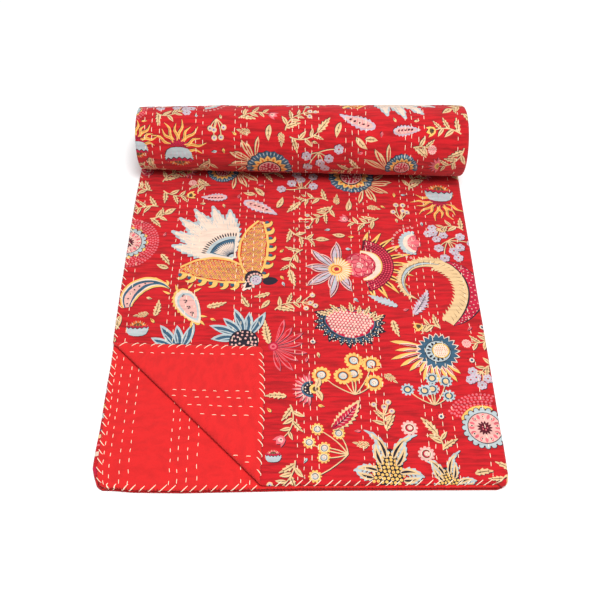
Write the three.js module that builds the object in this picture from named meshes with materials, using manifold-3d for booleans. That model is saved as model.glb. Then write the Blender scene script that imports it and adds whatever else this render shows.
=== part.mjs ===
// A kantha quilt of two cotton cloths, a printed face and a plain back. It is folded in four across its
// width and laid flat, with the far end rolled up on itself and the near left corner of the top layer
// turned back. Millimetres, +Z up, +X across the folded quilt, +Y from the near edge to the roll.

import * as THREE from 'three';
import Module from 'manifold-3d';

// The cut cloth before folding, a 90 by 60 inch single quilt
const CUT_ACROSS = 2286;
const CUT_ALONG = 1524;
const FOLDED_WIDTH = CUT_ACROSS / 4;

// The two cloths of one layer, and the four layers of the stack
const CLOTH = 1.05;
const CLOTH_GAP = 0.3;
const LAYER = 2 * CLOTH + CLOTH_GAP;
const LAYER_GAP = 0.4;
const PITCH = LAYER + LAYER_GAP;
const STACK = 4 * LAYER + 3 * LAYER_GAP;

// The roll, an even spiral that lifts off the surface at the end of the laid length
const LAID_LENGTH = 623;
const ROLL_HEIGHT = 124;
const TURN_GAP = 0.7;
const TURN_PITCH = STACK + TURN_GAP;
const ROLL_RADIUS = ROLL_HEIGHT / 2 + TURN_PITCH / 4;
const STEPS_PER_TURN = 20;
const STEP_ANGLE = (2 * Math.PI) / STEPS_PER_TURN;

// The roll is thicker towards its right end, by a share of its size, and that end lies nearer. Both come
// in gradually along the laid length.
const ROLL_TAPER = 0.12;
const TAPER_START = 540;
const ROLL_SKEW = 20;
const SKEW_START = 240;

// The turned-back corner: the leg of its diagonal fold, how far it lies over the quilt, how much lower its
// top edge is at the tip, the space under it and the round of its tip
const CORNER_LEG = 238;
const CORNER_REACH = 232;
const CORNER_FALL = 8;
const CORNER_GAP = 1;
const CORNER_TIP = 9;
const CORNER_BEND_STEPS = 8;
const CORNER_SEAT = 4;
const CUT_MARGIN = 30;

// Groups of sewn rows that draw the face in, and the cloth that puffs up between them
const FIRST_GROUP = 100;
const GROUP_PITCH = 95;
const GROUP_COUNT = 5;
const GROUP_HALF_WIDTH = 17;
const GROUP_SLOPE = 8;
const EDGE_SLOPE = 20;
const PUFF = 0.6;

// How far each layer reaches past the top layer's near edge, from the bottom layer up
const NEAR_REACH = [4, 1, 3.5, 0];
const NEAR_FADE = 40;

// Places across the quilt of the free edges and outermost folds, down its length
const EDGES = [
  { along: 0, topLeft: 8, secondLeft: 22, foldLeft: 13, right: FOLDED_WIDTH - 7 },
  { along: 4, topLeft: 8, secondLeft: 14, foldLeft: 9, right: FOLDED_WIDTH - 3 },
  { along: 10, topLeft: 8, secondLeft: 9.8, foldLeft: 7, right: FOLDED_WIDTH },
  { along: 18, topLeft: 7.5, secondLeft: 8, foldLeft: 3.5, right: FOLDED_WIDTH + 1 },
  { along: 30, topLeft: 7, secondLeft: 6, foldLeft: -1, right: FOLDED_WIDTH + 1 },
  { along: 60, topLeft: 6, secondLeft: 5, foldLeft: -1, right: FOLDED_WIDTH + 1 },
  { along: 90, topLeft: 5, secondLeft: 4, foldLeft: 0, right: FOLDED_WIDTH },
  { along: 160, topLeft: 2.7, secondLeft: 2, foldLeft: -0.5, right: FOLDED_WIDTH },
  { along: 240, topLeft: 0, secondLeft: 1, foldLeft: 1, right: FOLDED_WIDTH },
  { along: 330, topLeft: -1, secondLeft: 1, foldLeft: 1, right: FOLDED_WIDTH },
  { along: 430, topLeft: 0, secondLeft: 2, foldLeft: 1, right: FOLDED_WIDTH + 1 },
  { along: 540, topLeft: 1, secondLeft: 3, foldLeft: 2, right: FOLDED_WIDTH + 1 },
  { along: LAID_LENGTH, topLeft: 3, secondLeft: 5, foldLeft: 4, right: FOLDED_WIDTH + 2 },
  { along: 800, topLeft: 8, secondLeft: 9, foldLeft: 7, right: FOLDED_WIDTH + 2 },
  { along: 1000, topLeft: 8, secondLeft: 9, foldLeft: 7, right: FOLDED_WIDTH + 2 },
  { along: 1150, topLeft: 10, secondLeft: 12, foldLeft: 9, right: FOLDED_WIDTH + 3 },
  { along: 1350, topLeft: 9, secondLeft: 10, foldLeft: 8, right: FOLDED_WIDTH + 3 },
  { along: CUT_ALONG, topLeft: 11, secondLeft: 12, foldLeft: 10, right: FOLDED_WIDTH + 4 },
];

// How loosely the layers lie, and how much of the puff shows, along the laid length
const LAID_STATIONS = [
  { along: 0, swell: 1, puff: 0.5 },
  { along: 4, swell: 1, puff: 0.7 },
  { along: 10, swell: 1, puff: 1 },
  { along: 18, swell: 1, puff: 1 },
  { along: 40, swell: 1, puff: 1 },
  { along: 90, swell: 1, puff: 1 },
  { along: 160, swell: 1, puff: 1 },
  { along: 240, swell: 1, puff: 1 },
  { along: 285, swell: 1.06, puff: 1 },
  { along: 330, swell: 1.02, puff: 1 },
  { along: 430, swell: 1.08, puff: 1 },
  { along: 540, swell: 1.03, puff: 1 },
  { along: 580, swell: 1, puff: 0.4 },
  { along: LAID_LENGTH, swell: 1, puff: 0 },
];

// The way the quilt has settled: it bows sideways, lies a little askew, is fuller in places along its
// length, and is thicker at its folded right edge
const SIDE_BOW = { reach: 1.5, wave: 900, start: 0.5 };
const FULLER = { reach: 0.4, wave: 510, start: 0.3 };
const SKEW = 2.5;
const RIGHT_FULLNESS = 0.6;

// The route of the cloth across the folded quilt, from the top layer's free edge to the second layer's.
// Levels count layers from the bottom, next is the level that a stretch ends on, and a bend's angles are
// in degrees. The print faces up on a flat, or away from a bend's centre, where outward is 1.
const TOP = 3;
const BOTTOM = 0;
const ROUTE = [
  { form: 'flat', from: 'topLeft', to: 'right', level: TOP, next: TOP, outward: 1 },
  { form: 'bend', at: 'right', level: TOP, next: BOTTOM, start: 90, turn: -180, outward: 1, steps: 6 },
  { form: 'flat', from: 'right', to: 'foldLeft', level: BOTTOM, next: BOTTOM, outward: -1 },
  { form: 'bend', at: 'foldLeft', level: BOTTOM, next: 1, start: -90, turn: -180, outward: 1, steps: 4 },
  { form: 'flat', from: 'foldLeft', to: 'right', level: 1, next: 1, outward: 1 },
  { form: 'bend', at: 'right', level: 1, next: 2, start: -90, turn: 180, outward: -1, steps: 3 },
  { form: 'flat', from: 'right', to: 'secondLeft', level: 2, next: 2, outward: -1 },
];

// A cloth's two sides, measured from the middle of its layer towards the print. Only the print puffs.
const FACE = { first: CLOTH_GAP / 2 + CLOTH, second: CLOTH_GAP / 2, puffs: true };
const BACK = { first: -CLOTH_GAP / 2, second: -CLOTH_GAP / 2 - CLOTH, puffs: false };

const { lerp, degToRad, smoothstep } = THREE.MathUtils;

const wasm = await Module();
wasm.setup();

function levelHeight(level) {
  return LAYER / 2 + level * PITCH;
}

// A row of a table at a place along the quilt, with every column worked out between its neighbours
function rowAt(table, along) {
  const after = Math.max(1, table.findIndex((row) => row.along >= along));
  const [low, high] = [table[after - 1], table[after]];
  const share = (along - low.along) / (high.along - low.along);
  const columns = Object.keys(low).map((name) => [name, lerp(low[name], high[name], share)]);
  return Object.fromEntries(columns);
}

// The middle of a fold lies inside its outermost point by its own radius and half a layer
function foldCentres(edges) {
  const outerReach = 1.5 * PITCH + LAYER / 2;
  const innerReach = 0.5 * PITCH + LAYER / 2;
  return { ...edges, right: edges.right - outerReach, foldLeft: edges.foldLeft + innerReach };
}

// A point of the route, with the direction that the print faces
function routePoint(stretch, share, centres) {
  const { form, from, to, at, level, next, start, turn, outward } = ROUTE[stretch];
  const fromHeight = levelHeight(level);
  if (form === 'flat') {
    return { x: lerp(centres[from], centres[to], share), h: fromHeight, nx: 0, nh: outward };
  }
  const radius = Math.abs(levelHeight(next) - fromHeight) / 2;
  const middle = (levelHeight(next) + fromHeight) / 2;
  const angle = degToRad(start + turn * share);
  const [cos, sin] = [Math.cos(angle), Math.sin(angle)];
  return { x: centres[at] + radius * cos, h: middle + radius * sin, nx: outward * cos, nh: outward * sin };
}

// Places across a layer where the face rises between the sewn groups, as shares of its width
function sewnStops() {
  const stops = [{ x: 0, puff: 0 }, { x: EDGE_SLOPE, puff: 1 }];
  for (let group = 0; group < GROUP_COUNT; group += 1) {
    const centre = FIRST_GROUP + group * GROUP_PITCH;
    const slopeStart = GROUP_HALF_WIDTH + GROUP_SLOPE;
    stops.push({ x: centre - slopeStart, puff: 1 }, { x: centre - GROUP_HALF_WIDTH, puff: 0 });
    stops.push({ x: centre + GROUP_HALF_WIDTH, puff: 0 }, { x: centre + slopeStart, puff: 1 });
  }
  stops.push({ x: FOLDED_WIDTH - EDGE_SLOPE, puff: 1 });
  return stops.map(({ x, puff }) => ({ share: x / FOLDED_WIDTH, puff }));
}

// The stops of one stretch of the route. The face shows its sewn groups on the laid top and on the
// outermost turn of the roll, whose outside is the bottom layer.
function stopsOf(stretch, puffs, showingLevel) {
  const { form, level, outward, steps } = ROUTE[stretch];
  if (form === 'bend') {
    return Array.from({ length: steps }, (_, step) => ({ share: step / steps, puff: 0 }));
  }
  if (!puffs || level !== showingLevel) {
    return [{ share: 0, puff: 0 }];
  }
  const stops = sewnStops();
  if (outward > 0) {
    return stops;
  }
  const turned = stops.slice(1).map(({ share, puff }) => ({ share: 1 - share, puff }));
  return [{ share: 0, puff: 0 }, ...turned.reverse()];
}

// One side of a cloth at a station, as points in space in the order of the route
function sideOf(station, offset, puffs) {
  const points = [];
  const centres = foldCentres(rowAt(EDGES, station.along));
  const add = (stretch, share, puff) => {
    const { x, h, nx, nh } = routePoint(stretch, share, centres);
    const { level, next } = ROUTE[stretch];
    const reach = offset + PUFF * puff * station.puff;
    const near = lerp(NEAR_REACH[level], NEAR_REACH[next], share);
    points.push({ place: stretch + share, spot: station.spot(x + nx * reach, h + nh * reach, near) });
  };
  ROUTE.forEach((_, stretch) => {
    stopsOf(stretch, puffs, station.showingLevel).forEach(({ share, puff }) => add(stretch, share, puff));
  });
  add(ROUTE.length - 1, 1, 0);
  return points;
}

// A place across the quilt as a share of its width from its middle
function fromMiddle(x) {
  return x / FOLDED_WIDTH - 0.5;
}

function laidStation({ along, swell, puff }) {
  const fade = Math.max(0, 1 - along / NEAR_FADE);
  const taper = ROLL_TAPER * smoothstep(along, TAPER_START, LAID_LENGTH);
  const skew = ROLL_SKEW * smoothstep(along, SKEW_START, LAID_LENGTH);
  const spot = (x, h, near) => new THREE.Vector3(
    x,
    along - near * fade - skew * fromMiddle(x),
    h * swell * (1 + taper * fromMiddle(x)),
  );
  return { along, puff, showingLevel: TOP, spot };
}

// A station of the roll. The angle starts where the roll lifts off and grows up its far side.
function rollStation(angle) {
  const radius = ROLL_RADIUS - (TURN_PITCH * angle) / (2 * Math.PI);
  const spot = (x, h) => {
    const size = 1 + ROLL_TAPER * fromMiddle(x);
    const start = LAID_LENGTH - ROLL_SKEW * fromMiddle(x);
    const rise = ROLL_RADIUS - (radius - h) * Math.cos(angle);
    return new THREE.Vector3(x, start + size * (radius - h) * Math.sin(angle), size * rise);
  };
  const puff = Math.min(angle / STEP_ANGLE / 2, (2 * Math.PI - angle) / STEP_ANGLE / 3, 1);
  const showing = angle < 2 * Math.PI;
  const along = LAID_LENGTH + rolledLength(angle);
  return { along, puff: Math.max(0, puff), showingLevel: showing ? BOTTOM : null, spot };
}

// Length of the middle of the stack from the lift-off to an angle of the spiral
function rolledLength(angle) {
  return (ROLL_RADIUS - STACK / 2) * angle - (TURN_PITCH * angle * angle) / (4 * Math.PI);
}

// The angle at which the spiral has taken up the rest of the cut length
function lastAngle() {
  const radius = ROLL_RADIUS - STACK / 2;
  const rolled = CUT_ALONG - LAID_LENGTH;
  return ((radius - Math.sqrt(radius ** 2 - (TURN_PITCH * rolled) / Math.PI)) * 2 * Math.PI) / TURN_PITCH;
}

function allStations() {
  const end = lastAngle();
  const roll = [];
  for (let angle = STEP_ANGLE; angle < end - STEP_ANGLE / 4; angle += STEP_ANGLE) {
    roll.push(rollStation(angle));
  }
  return [...LAID_STATIONS.map(laidStation), ...roll, rollStation(end)];
}

// Fills the strip between two rows of numbered points by their places along the row
function zip(rowA, rowB, flipped, triangles) {
  let [a, b] = [0, 0];
  while (a < rowA.length - 1 || b < rowB.length - 1) {
    const nextA = a < rowA.length - 1 ? rowA[a + 1].place : Infinity;
    const nextB = b < rowB.length - 1 ? rowB[b + 1].place : Infinity;
    const stepA = nextA <= nextB;
    const corner = stepA ? rowA[a + 1] : rowB[b + 1];
    const [second, third] = flipped ? [rowB[b], corner] : [corner, rowB[b]];
    triangles.push(rowA[a].index, second.index, third.index);
    a += stepA ? 1 : 0;
    b += stepA ? 0 : 1;
  }
}

// A cloth as one closed body: its two sides, its long free edges and its two ends
function clothBody({ first, second, puffs }) {
  const positions = [];
  const triangles = [];
  const numbered = (points) => points.map(({ place, spot }) => {
    positions.push(spot.x, spot.y, spot.z);
    return { place, index: positions.length / 3 - 1 };
  });
  const stations = allStations().map((station) => ({
    first: numbered(sideOf(station, first, puffs)),
    second: numbered(sideOf(station, second, false)),
  }));
  const startEdge = (station) => [{ ...station.second[0], place: 0 }, { ...station.first[0], place: 1 }];
  const endEdge = (station) => {
    return [{ ...station.first.at(-1), place: 0 }, { ...station.second.at(-1), place: 1 }];
  };
  for (let i = 0; i < stations.length - 1; i += 1) {
    const [near, far] = [stations[i], stations[i + 1]];
    zip(near.first, far.first, false, triangles);
    zip(near.second, far.second, true, triangles);
    zip(startEdge(near), startEdge(far), false, triangles);
    zip(endEdge(near), endEdge(far), false, triangles);
  }
  zip(stations[0].first, stations[0].second, true, triangles);
  zip(stations.at(-1).first, stations.at(-1).second, false, triangles);
  return solidFrom(positions, triangles);
}

function solidFrom(positions, triangles) {
  const vertProperties = new Float32Array(positions);
  const triVerts = new Uint32Array(triangles);
  return new wasm.Manifold(new wasm.Mesh({ numProp: 3, vertProperties, triVerts }));
}

// An extruded shape as a solid, with its shared corners merged
function extrudedSolid(shape, depth, matrix, curveSegments) {
  const extruded = new THREE.ExtrudeGeometry(shape, { depth, curveSegments, bevelEnabled: false });
  extruded.applyMatrix4(matrix);
  const { array } = extruded.attributes.position;
  const numbers = new Map();
  const positions = [];
  const triangles = [];
  for (let i = 0; i < array.length; i += 3) {
    const spot = [array[i], array[i + 1], array[i + 2]];
    const key = spot.map((value) => value.toFixed(4)).join(' ');
    if (!numbers.has(key)) {
      numbers.set(key, numbers.size);
      positions.push(...spot);
    }
    triangles.push(numbers.get(key));
  }
  return solidFrom(positions, triangles);
}

// Everything over the near left corner, from a height up, as far as the diagonal fold
function cornerCut(bottom) {
  const reach = CORNER_LEG + CUT_MARGIN;
  const shape = new THREE.Shape();
  shape.moveTo(-CUT_MARGIN, -CUT_MARGIN).lineTo(reach, -CUT_MARGIN).lineTo(-CUT_MARGIN, reach);
  return extrudedSolid(shape, CUT_MARGIN, new THREE.Matrix4().makeTranslation(0, 0, bottom));
}

// The outline of the turned-back corner from above, with the width of its bend past the diagonal
function cornerOutline(bendReach) {
  const start = CORNER_LEG - bendReach - CORNER_REACH;
  const tip = CORNER_REACH - CORNER_FALL;
  const besideTip = lerp(tip, CORNER_REACH, CORNER_TIP / (CORNER_REACH - start));
  const shape = new THREE.Shape();
  shape.moveTo(start, CORNER_REACH).lineTo(CORNER_REACH, start).lineTo(CORNER_REACH, tip - CORNER_TIP);
  shape.quadraticCurveTo(CORNER_REACH, tip, CORNER_REACH - CORNER_TIP, besideTip);
  return extrudedSolid(shape, 2 * STACK, new THREE.Matrix4(), CORNER_BEND_STEPS);
}

// One cloth of the turned-back corner: a hook across the diagonal, seated in what stays of its layer
function cornerHook(inner, outer) {
  const depth = CORNER_LEG;
  const shape = new THREE.Shape();
  shape.moveTo(CORNER_SEAT, -outer).lineTo(CORNER_SEAT, -inner).lineTo(0, -inner);
  shape.absarc(0, 0, inner, -Math.PI / 2, Math.PI / 2, true);
  shape.lineTo(depth, inner).lineTo(depth, outer).lineTo(0, outer);
  shape.absarc(0, 0, outer, Math.PI / 2, (3 * Math.PI) / 2, false);
  const across = new THREE.Vector3(1, 1, 0).normalize();
  const up = new THREE.Vector3(0, 0, 1);
  const diagonal = new THREE.Vector3(1, -1, 0).normalize();
  const matrix = new THREE.Matrix4().makeBasis(across, up, diagonal);
  matrix.setPosition(-CUT_MARGIN, CORNER_LEG + CUT_MARGIN, STACK + CORNER_GAP / 2);
  const length = Math.SQRT2 * (CORNER_LEG + 2 * CUT_MARGIN);
  return extrudedSolid(shape, length, matrix, CORNER_BEND_STEPS);
}

// A cloth with its corner turned back. The cut starts below the cloth's part of the top layer.
function clothWithCorner(cloth, cutDepth, innerBend) {
  const outerBend = innerBend + CLOTH;
  const widestBend = CORNER_GAP / 2 + LAYER;
  const outline = cornerOutline(Math.SQRT2 * (widestBend + CLOTH_GAP));
  const corner = cornerHook(innerBend, outerBend).intersect(outline);
  return clothBody(cloth).subtract(cornerCut(STACK - cutDepth)).add(corner);
}

function waveAt({ reach, wave, start }, place) {
  return reach * Math.sin((2 * Math.PI * place) / wave + start);
}

// Every point of both cloths moves with the settled quilt, and the underside stays flat
function settle(positions) {
  for (let i = 0; i < positions.length; i += 3) {
    const [x, y, z] = [positions[i], positions[i + 1], positions[i + 2]];
    const across = x / FOLDED_WIDTH;
    positions[i] += waveAt(SIDE_BOW, y);
    positions[i + 1] += SKEW * across;
    positions[i + 2] += (waveAt(FULLER, y) + RIGHT_FULLNESS * across) * Math.min(1, z / STACK);
  }
  return positions;
}

function clothMesh(name, solid, color) {
  const { vertProperties, triVerts } = solid.getMesh();
  const geometry = new THREE.BufferGeometry();
  geometry.setAttribute('position', new THREE.BufferAttribute(settle(vertProperties), 3));
  geometry.setIndex(new THREE.BufferAttribute(triVerts, 1));
  geometry.computeVertexNormals();
  const material = new THREE.MeshStandardMaterial({ color, roughness: 0.9, metalness: 0 });
  const mesh = new THREE.Mesh(geometry, material);
  mesh.name = name;
  return mesh;
}

const faceBend = CORNER_GAP / 2;
const backBend = faceBend + CLOTH + CLOTH_GAP;
const face = clothWithCorner(FACE, CLOTH + CLOTH_GAP / 2, faceBend);
const back = clothWithCorner(BACK, LAYER + LAYER_GAP / 2, backBend);

const quilt = new THREE.Group();
quilt.add(clothMesh('printed_face', face, 0xc4232c), clothMesh('plain_back', back, 0xe23a36));

// The origin is at the middle of the underside
const box = new THREE.Box3().setFromObject(quilt);
const centre = box.getCenter(new THREE.Vector3());
quilt.position.set(-centre.x, -centre.y, -box.min.z);

export default quilt;
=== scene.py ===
"""A kantha quilt, folded lengthwise in four, its far end rolled up and one near corner turned back."""

import math

import bpy
import numpy as np
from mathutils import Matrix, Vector
from mathutils.bvhtree import BVHTree
from mathutils.geometry import delaunay_2d_cdt


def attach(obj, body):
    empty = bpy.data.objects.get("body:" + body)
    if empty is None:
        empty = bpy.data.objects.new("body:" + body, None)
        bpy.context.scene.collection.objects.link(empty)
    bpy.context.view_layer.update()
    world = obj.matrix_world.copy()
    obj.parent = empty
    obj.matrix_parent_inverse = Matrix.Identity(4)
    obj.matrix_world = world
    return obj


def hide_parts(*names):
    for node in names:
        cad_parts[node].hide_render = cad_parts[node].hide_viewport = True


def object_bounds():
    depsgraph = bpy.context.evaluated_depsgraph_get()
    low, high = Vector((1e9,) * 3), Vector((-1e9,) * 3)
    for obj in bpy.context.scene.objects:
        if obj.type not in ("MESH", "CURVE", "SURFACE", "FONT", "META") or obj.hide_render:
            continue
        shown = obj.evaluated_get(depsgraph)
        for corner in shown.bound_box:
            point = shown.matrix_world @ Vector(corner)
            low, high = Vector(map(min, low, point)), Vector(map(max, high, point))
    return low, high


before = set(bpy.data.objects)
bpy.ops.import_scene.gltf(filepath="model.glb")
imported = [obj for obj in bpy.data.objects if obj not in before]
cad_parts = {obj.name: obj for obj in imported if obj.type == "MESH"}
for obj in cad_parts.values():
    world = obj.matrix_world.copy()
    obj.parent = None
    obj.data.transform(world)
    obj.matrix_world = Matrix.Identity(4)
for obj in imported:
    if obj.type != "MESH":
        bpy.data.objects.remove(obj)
CAD_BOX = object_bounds()

bl_info = {
    "name": "Folded kantha quilt",
    "version": (1, 0, 0),
    "blender": (4, 2, 0),
    "location": "View3D > Sidebar > Quilt",
    "description": "Builds a stitched floral quilt, folded, rolled and with a corner turned back",
    "category": "Add Mesh",
}

MM = 0.001


def length(name, text, millimetres):
    """A length setting, given in millimetres and kept in metres."""
    return bpy.props.FloatProperty(
        name=name, description=text, default=millimetres * MM, min=0.0, unit="LENGTH", subtype="DISTANCE"
    )


def colour(name, text, red, green, blue):
    """A colour setting, given as it looks on a screen from 0 to 255."""
    return bpy.props.FloatVectorProperty(
        name=name,
        description=text,
        default=(red / 255, green / 255, blue / 255),
        min=0.0,
        max=1.0,
        size=3,
        subtype="COLOR_GAMMA",
    )


class QuiltSizes(bpy.types.PropertyGroup):
    """Sizes of the cloth and of the way it is folded."""

    cut_across: length("Cut across", "Cloth size across the fold", 2286)
    cut_along: length("Cut along", "Cloth size from the near edge to the rolled end", 1524)
    cloth: length("Cloth", "Thickness of each of the two cloths", 1.05)
    cloth_gap: length("Cloth gap", "Space between the two cloths", 0.3)
    layer_gap: length("Layer gap", "Space between folded layers", 0.4)
    laid: length("Laid length", "Length that lies flat in front of the roll's middle", 623)
    roll_height: length("Roll height", "Height of the roll at its middle", 124)
    turn_gap: length("Turn gap", "Space between the turns of the roll", 0.7)
    corner_leg: length("Corner leg", "How far along each edge the corner is turned back", 238)
    corner_bend: length("Corner bend", "Radius of the bend of the turned corner", 2.9)
    puff: length("Puff", "How far the cloth stands proud between sewn rows", 0.8)
    pucker: length("Pucker", "Height of the small puckers along the sewn rows", 0.4)


class ThreadSizes(bpy.types.PropertyGroup):
    """Sizes of the stitches."""

    face_stitch: length("Face stitch", "Length of a running stitch on the printed face", 8.4)
    back_stitch: length("Back stitch", "Length of a running stitch on the plain back", 6.8)
    pitch: length("Pitch", "Distance from one running stitch to the next", 14.8)
    thread: length("Thread", "Width of the running thread", 1.0)
    edge_pitch: length("Edge pitch", "Distance between whipped edge stitches", 13.8)
    edge_depth: length("Edge depth", "How far a whipped stitch reaches in from the edge", 7.2)
    edge_thread: length("Edge thread", "Width of the whipping thread", 1.15)


class QuiltColours(bpy.types.PropertyGroup):
    """Colours of the print, the plain back and the thread."""

    base: colour("Ground", "Red ground of the print", 198, 17, 28)
    plain: colour("Plain back", "Red of the plain back", 218, 30, 31)
    ink: colour("Ink", "Outlines and dark hearts", 34, 28, 42)
    cream: colour("Cream", "Leaves and stems", 232, 194, 144)
    pale: colour("Pale", "Palest petals", 242, 214, 194)
    yellow: colour("Yellow", "Flames and rims", 244, 192, 104)
    orange: colour("Orange", "Shade of the yellow petals", 226, 118, 50)
    teal: colour("Teal", "Blue petals", 56, 92, 116)
    sky: colour("Sky", "Pale blue petal edges", 184, 195, 197)
    lilac: colour("Lilac", "Lilac petals", 204, 182, 194)
    pink: colour("Pink", "Pink petals", 228, 104, 114)
    blush: colour("Blush", "Pale pink", 236, 178, 168)
    brick: colour("Brick", "Ground of the spotted wings", 200, 62, 34)
    rose: colour("Rose", "Crimson petals", 192, 18, 58)
    maroon: colour("Maroon", "Darkest red", 88, 14, 32)
    olive: colour("Olive", "Veins of the leaves", 104, 76, 46)
    thread: colour("Thread", "Cream sewing thread", 248, 226, 196)
    floor: colour("Floor", "Pale floor", 246, 246, 246)


# Form of the folded quilt. Lengths from here on are in millimetres: across the folded quilt from the top
# layer's free edge, along it from its near edge, and up from the surface that it lies on.

# Outline of the layers at distances along the quilt: the free left edges of the top and second layers, the
# folded left edge below them, and how far the folded right edge is from the folded width.
EDGE_ALONG = (0, 18, 30, 60, 90, 160, 240, 330, 430, 540, 623, 800, 1000, 1150, 1350, 1524)
TOP_LEFT = (8, 7.5, 7, 6, 5, 2.7, 0, -1, 0, 1, 3, 8, 8, 10, 9, 11)
SECOND_LEFT = (8, 8, 6, 5, 4, 2, 1, 1, 2, 3, 5, 9, 9, 12, 10, 12)
FOLD_LEFT = (4, 3, -1, -1, 0, -0.5, 1, 1, 1, 2, 4, 7, 7, 9, 8, 10)
RIGHT = (1, 1, 1, 1, 0, 0, 0, 0, 1, 1, 2, 2, 2, 3, 3, 4)
# The round of the near corners: distances along the quilt, how far the corner of each edge is drawn in
# there, and the distance in which that fades across the quilt.
ROUND_ALONG = (0, 1, 2.5, 5, 10, 18)
SECOND_ROUND = (18, 12.5, 8, 4.5, 1.8, 0)
FOLD_ROUND = (11, 9, 7, 5, 3, 0)
RIGHT_ROUND = (12, 8.5, 5.5, 3, 1, 0)
ROUND_FADE = 22.0
# How far the near edge of each layer lies past the top layer's, from the bottom layer up.
NEAR_REACH = (4.0, 1.0, 3.5, 0.0)
NEAR_FADE = 40.0
# How far the near edges of all layers bow out, at distances across the quilt.
BOW_ACROSS = (0, 30, 60, 125, 207, 290)
BOW_REACH = (-1.5, -1.2, 1.6, 2.8, 1.4, 0)
# Fullness of the laid stack at distances along it.
FULL_ALONG = (0, 240, 285, 330, 430, 540, 580, 623)
FULLNESS = (1.0, 1.0, 1.06, 1.02, 1.08, 1.03, 1.0, 1.0)
# The corner's rounded tip and the width over which the cloth edges are rounded.
TIP_RADIUS = 9.0
EDGE_ROUND = 3.6
# Share by which the roll is fatter on its right than on its left, how far it lies nearer on its right, where
# each begins along the quilt, and the share and length of its soft lumps.
ROLL_TAPER = 0.12
TAPER_START = 540
ROLL_SKEW = 20.0
SKEW_START = 240
ROLL_LUMPS = 0.012
LUMP_LENGTH = 95
# How the whole quilt sways to the side and lies unevenly, each the size, length and start of a wave, and how
# much higher and further back its right edge lies than its left.
SWAY = (1.5, 900, 0.5)
UNEVEN = (0.4, 510, 0.3)
RIGHT_RISE = 0.6
RIGHT_BACK = 2.5
# Room left under the turned corner where it has sunk, and the distance in which it sinks.
CORNER_REST = 1.4
CORNER_SINK = 30
# Sewn rows across the top layer, in groups, and across the second layer where it shows.
TOP_ROWS = (17, 80, 92, 107, 120, 184, 195, 211, 223, 278, 288, 298, 308, 373, 386, 396, 406,
            464, 475, 488, 503, 550)
SECOND_ROWS = (7, 17, 32, 43, 102, 112, 124, 139, 200, 212)
ROLL_ROWS = (18, 30, 42, 104, 116, 172, 183, 194, 270, 282, 293, 304, 316, 361, 374, 385, 396,
             464, 474, 485, 496, 552)


def ease(value, start, end):
    """A smooth step from 0 at start to 1 at end."""
    share = np.clip((value - start) / (end - start), 0, 1)
    return share * share * (3 - 2 * share)


def wave(place, size, length, start):
    """A wave of a size and a length, with its start in radians."""
    return size * np.sin(2 * np.pi * place / length + start)


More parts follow.
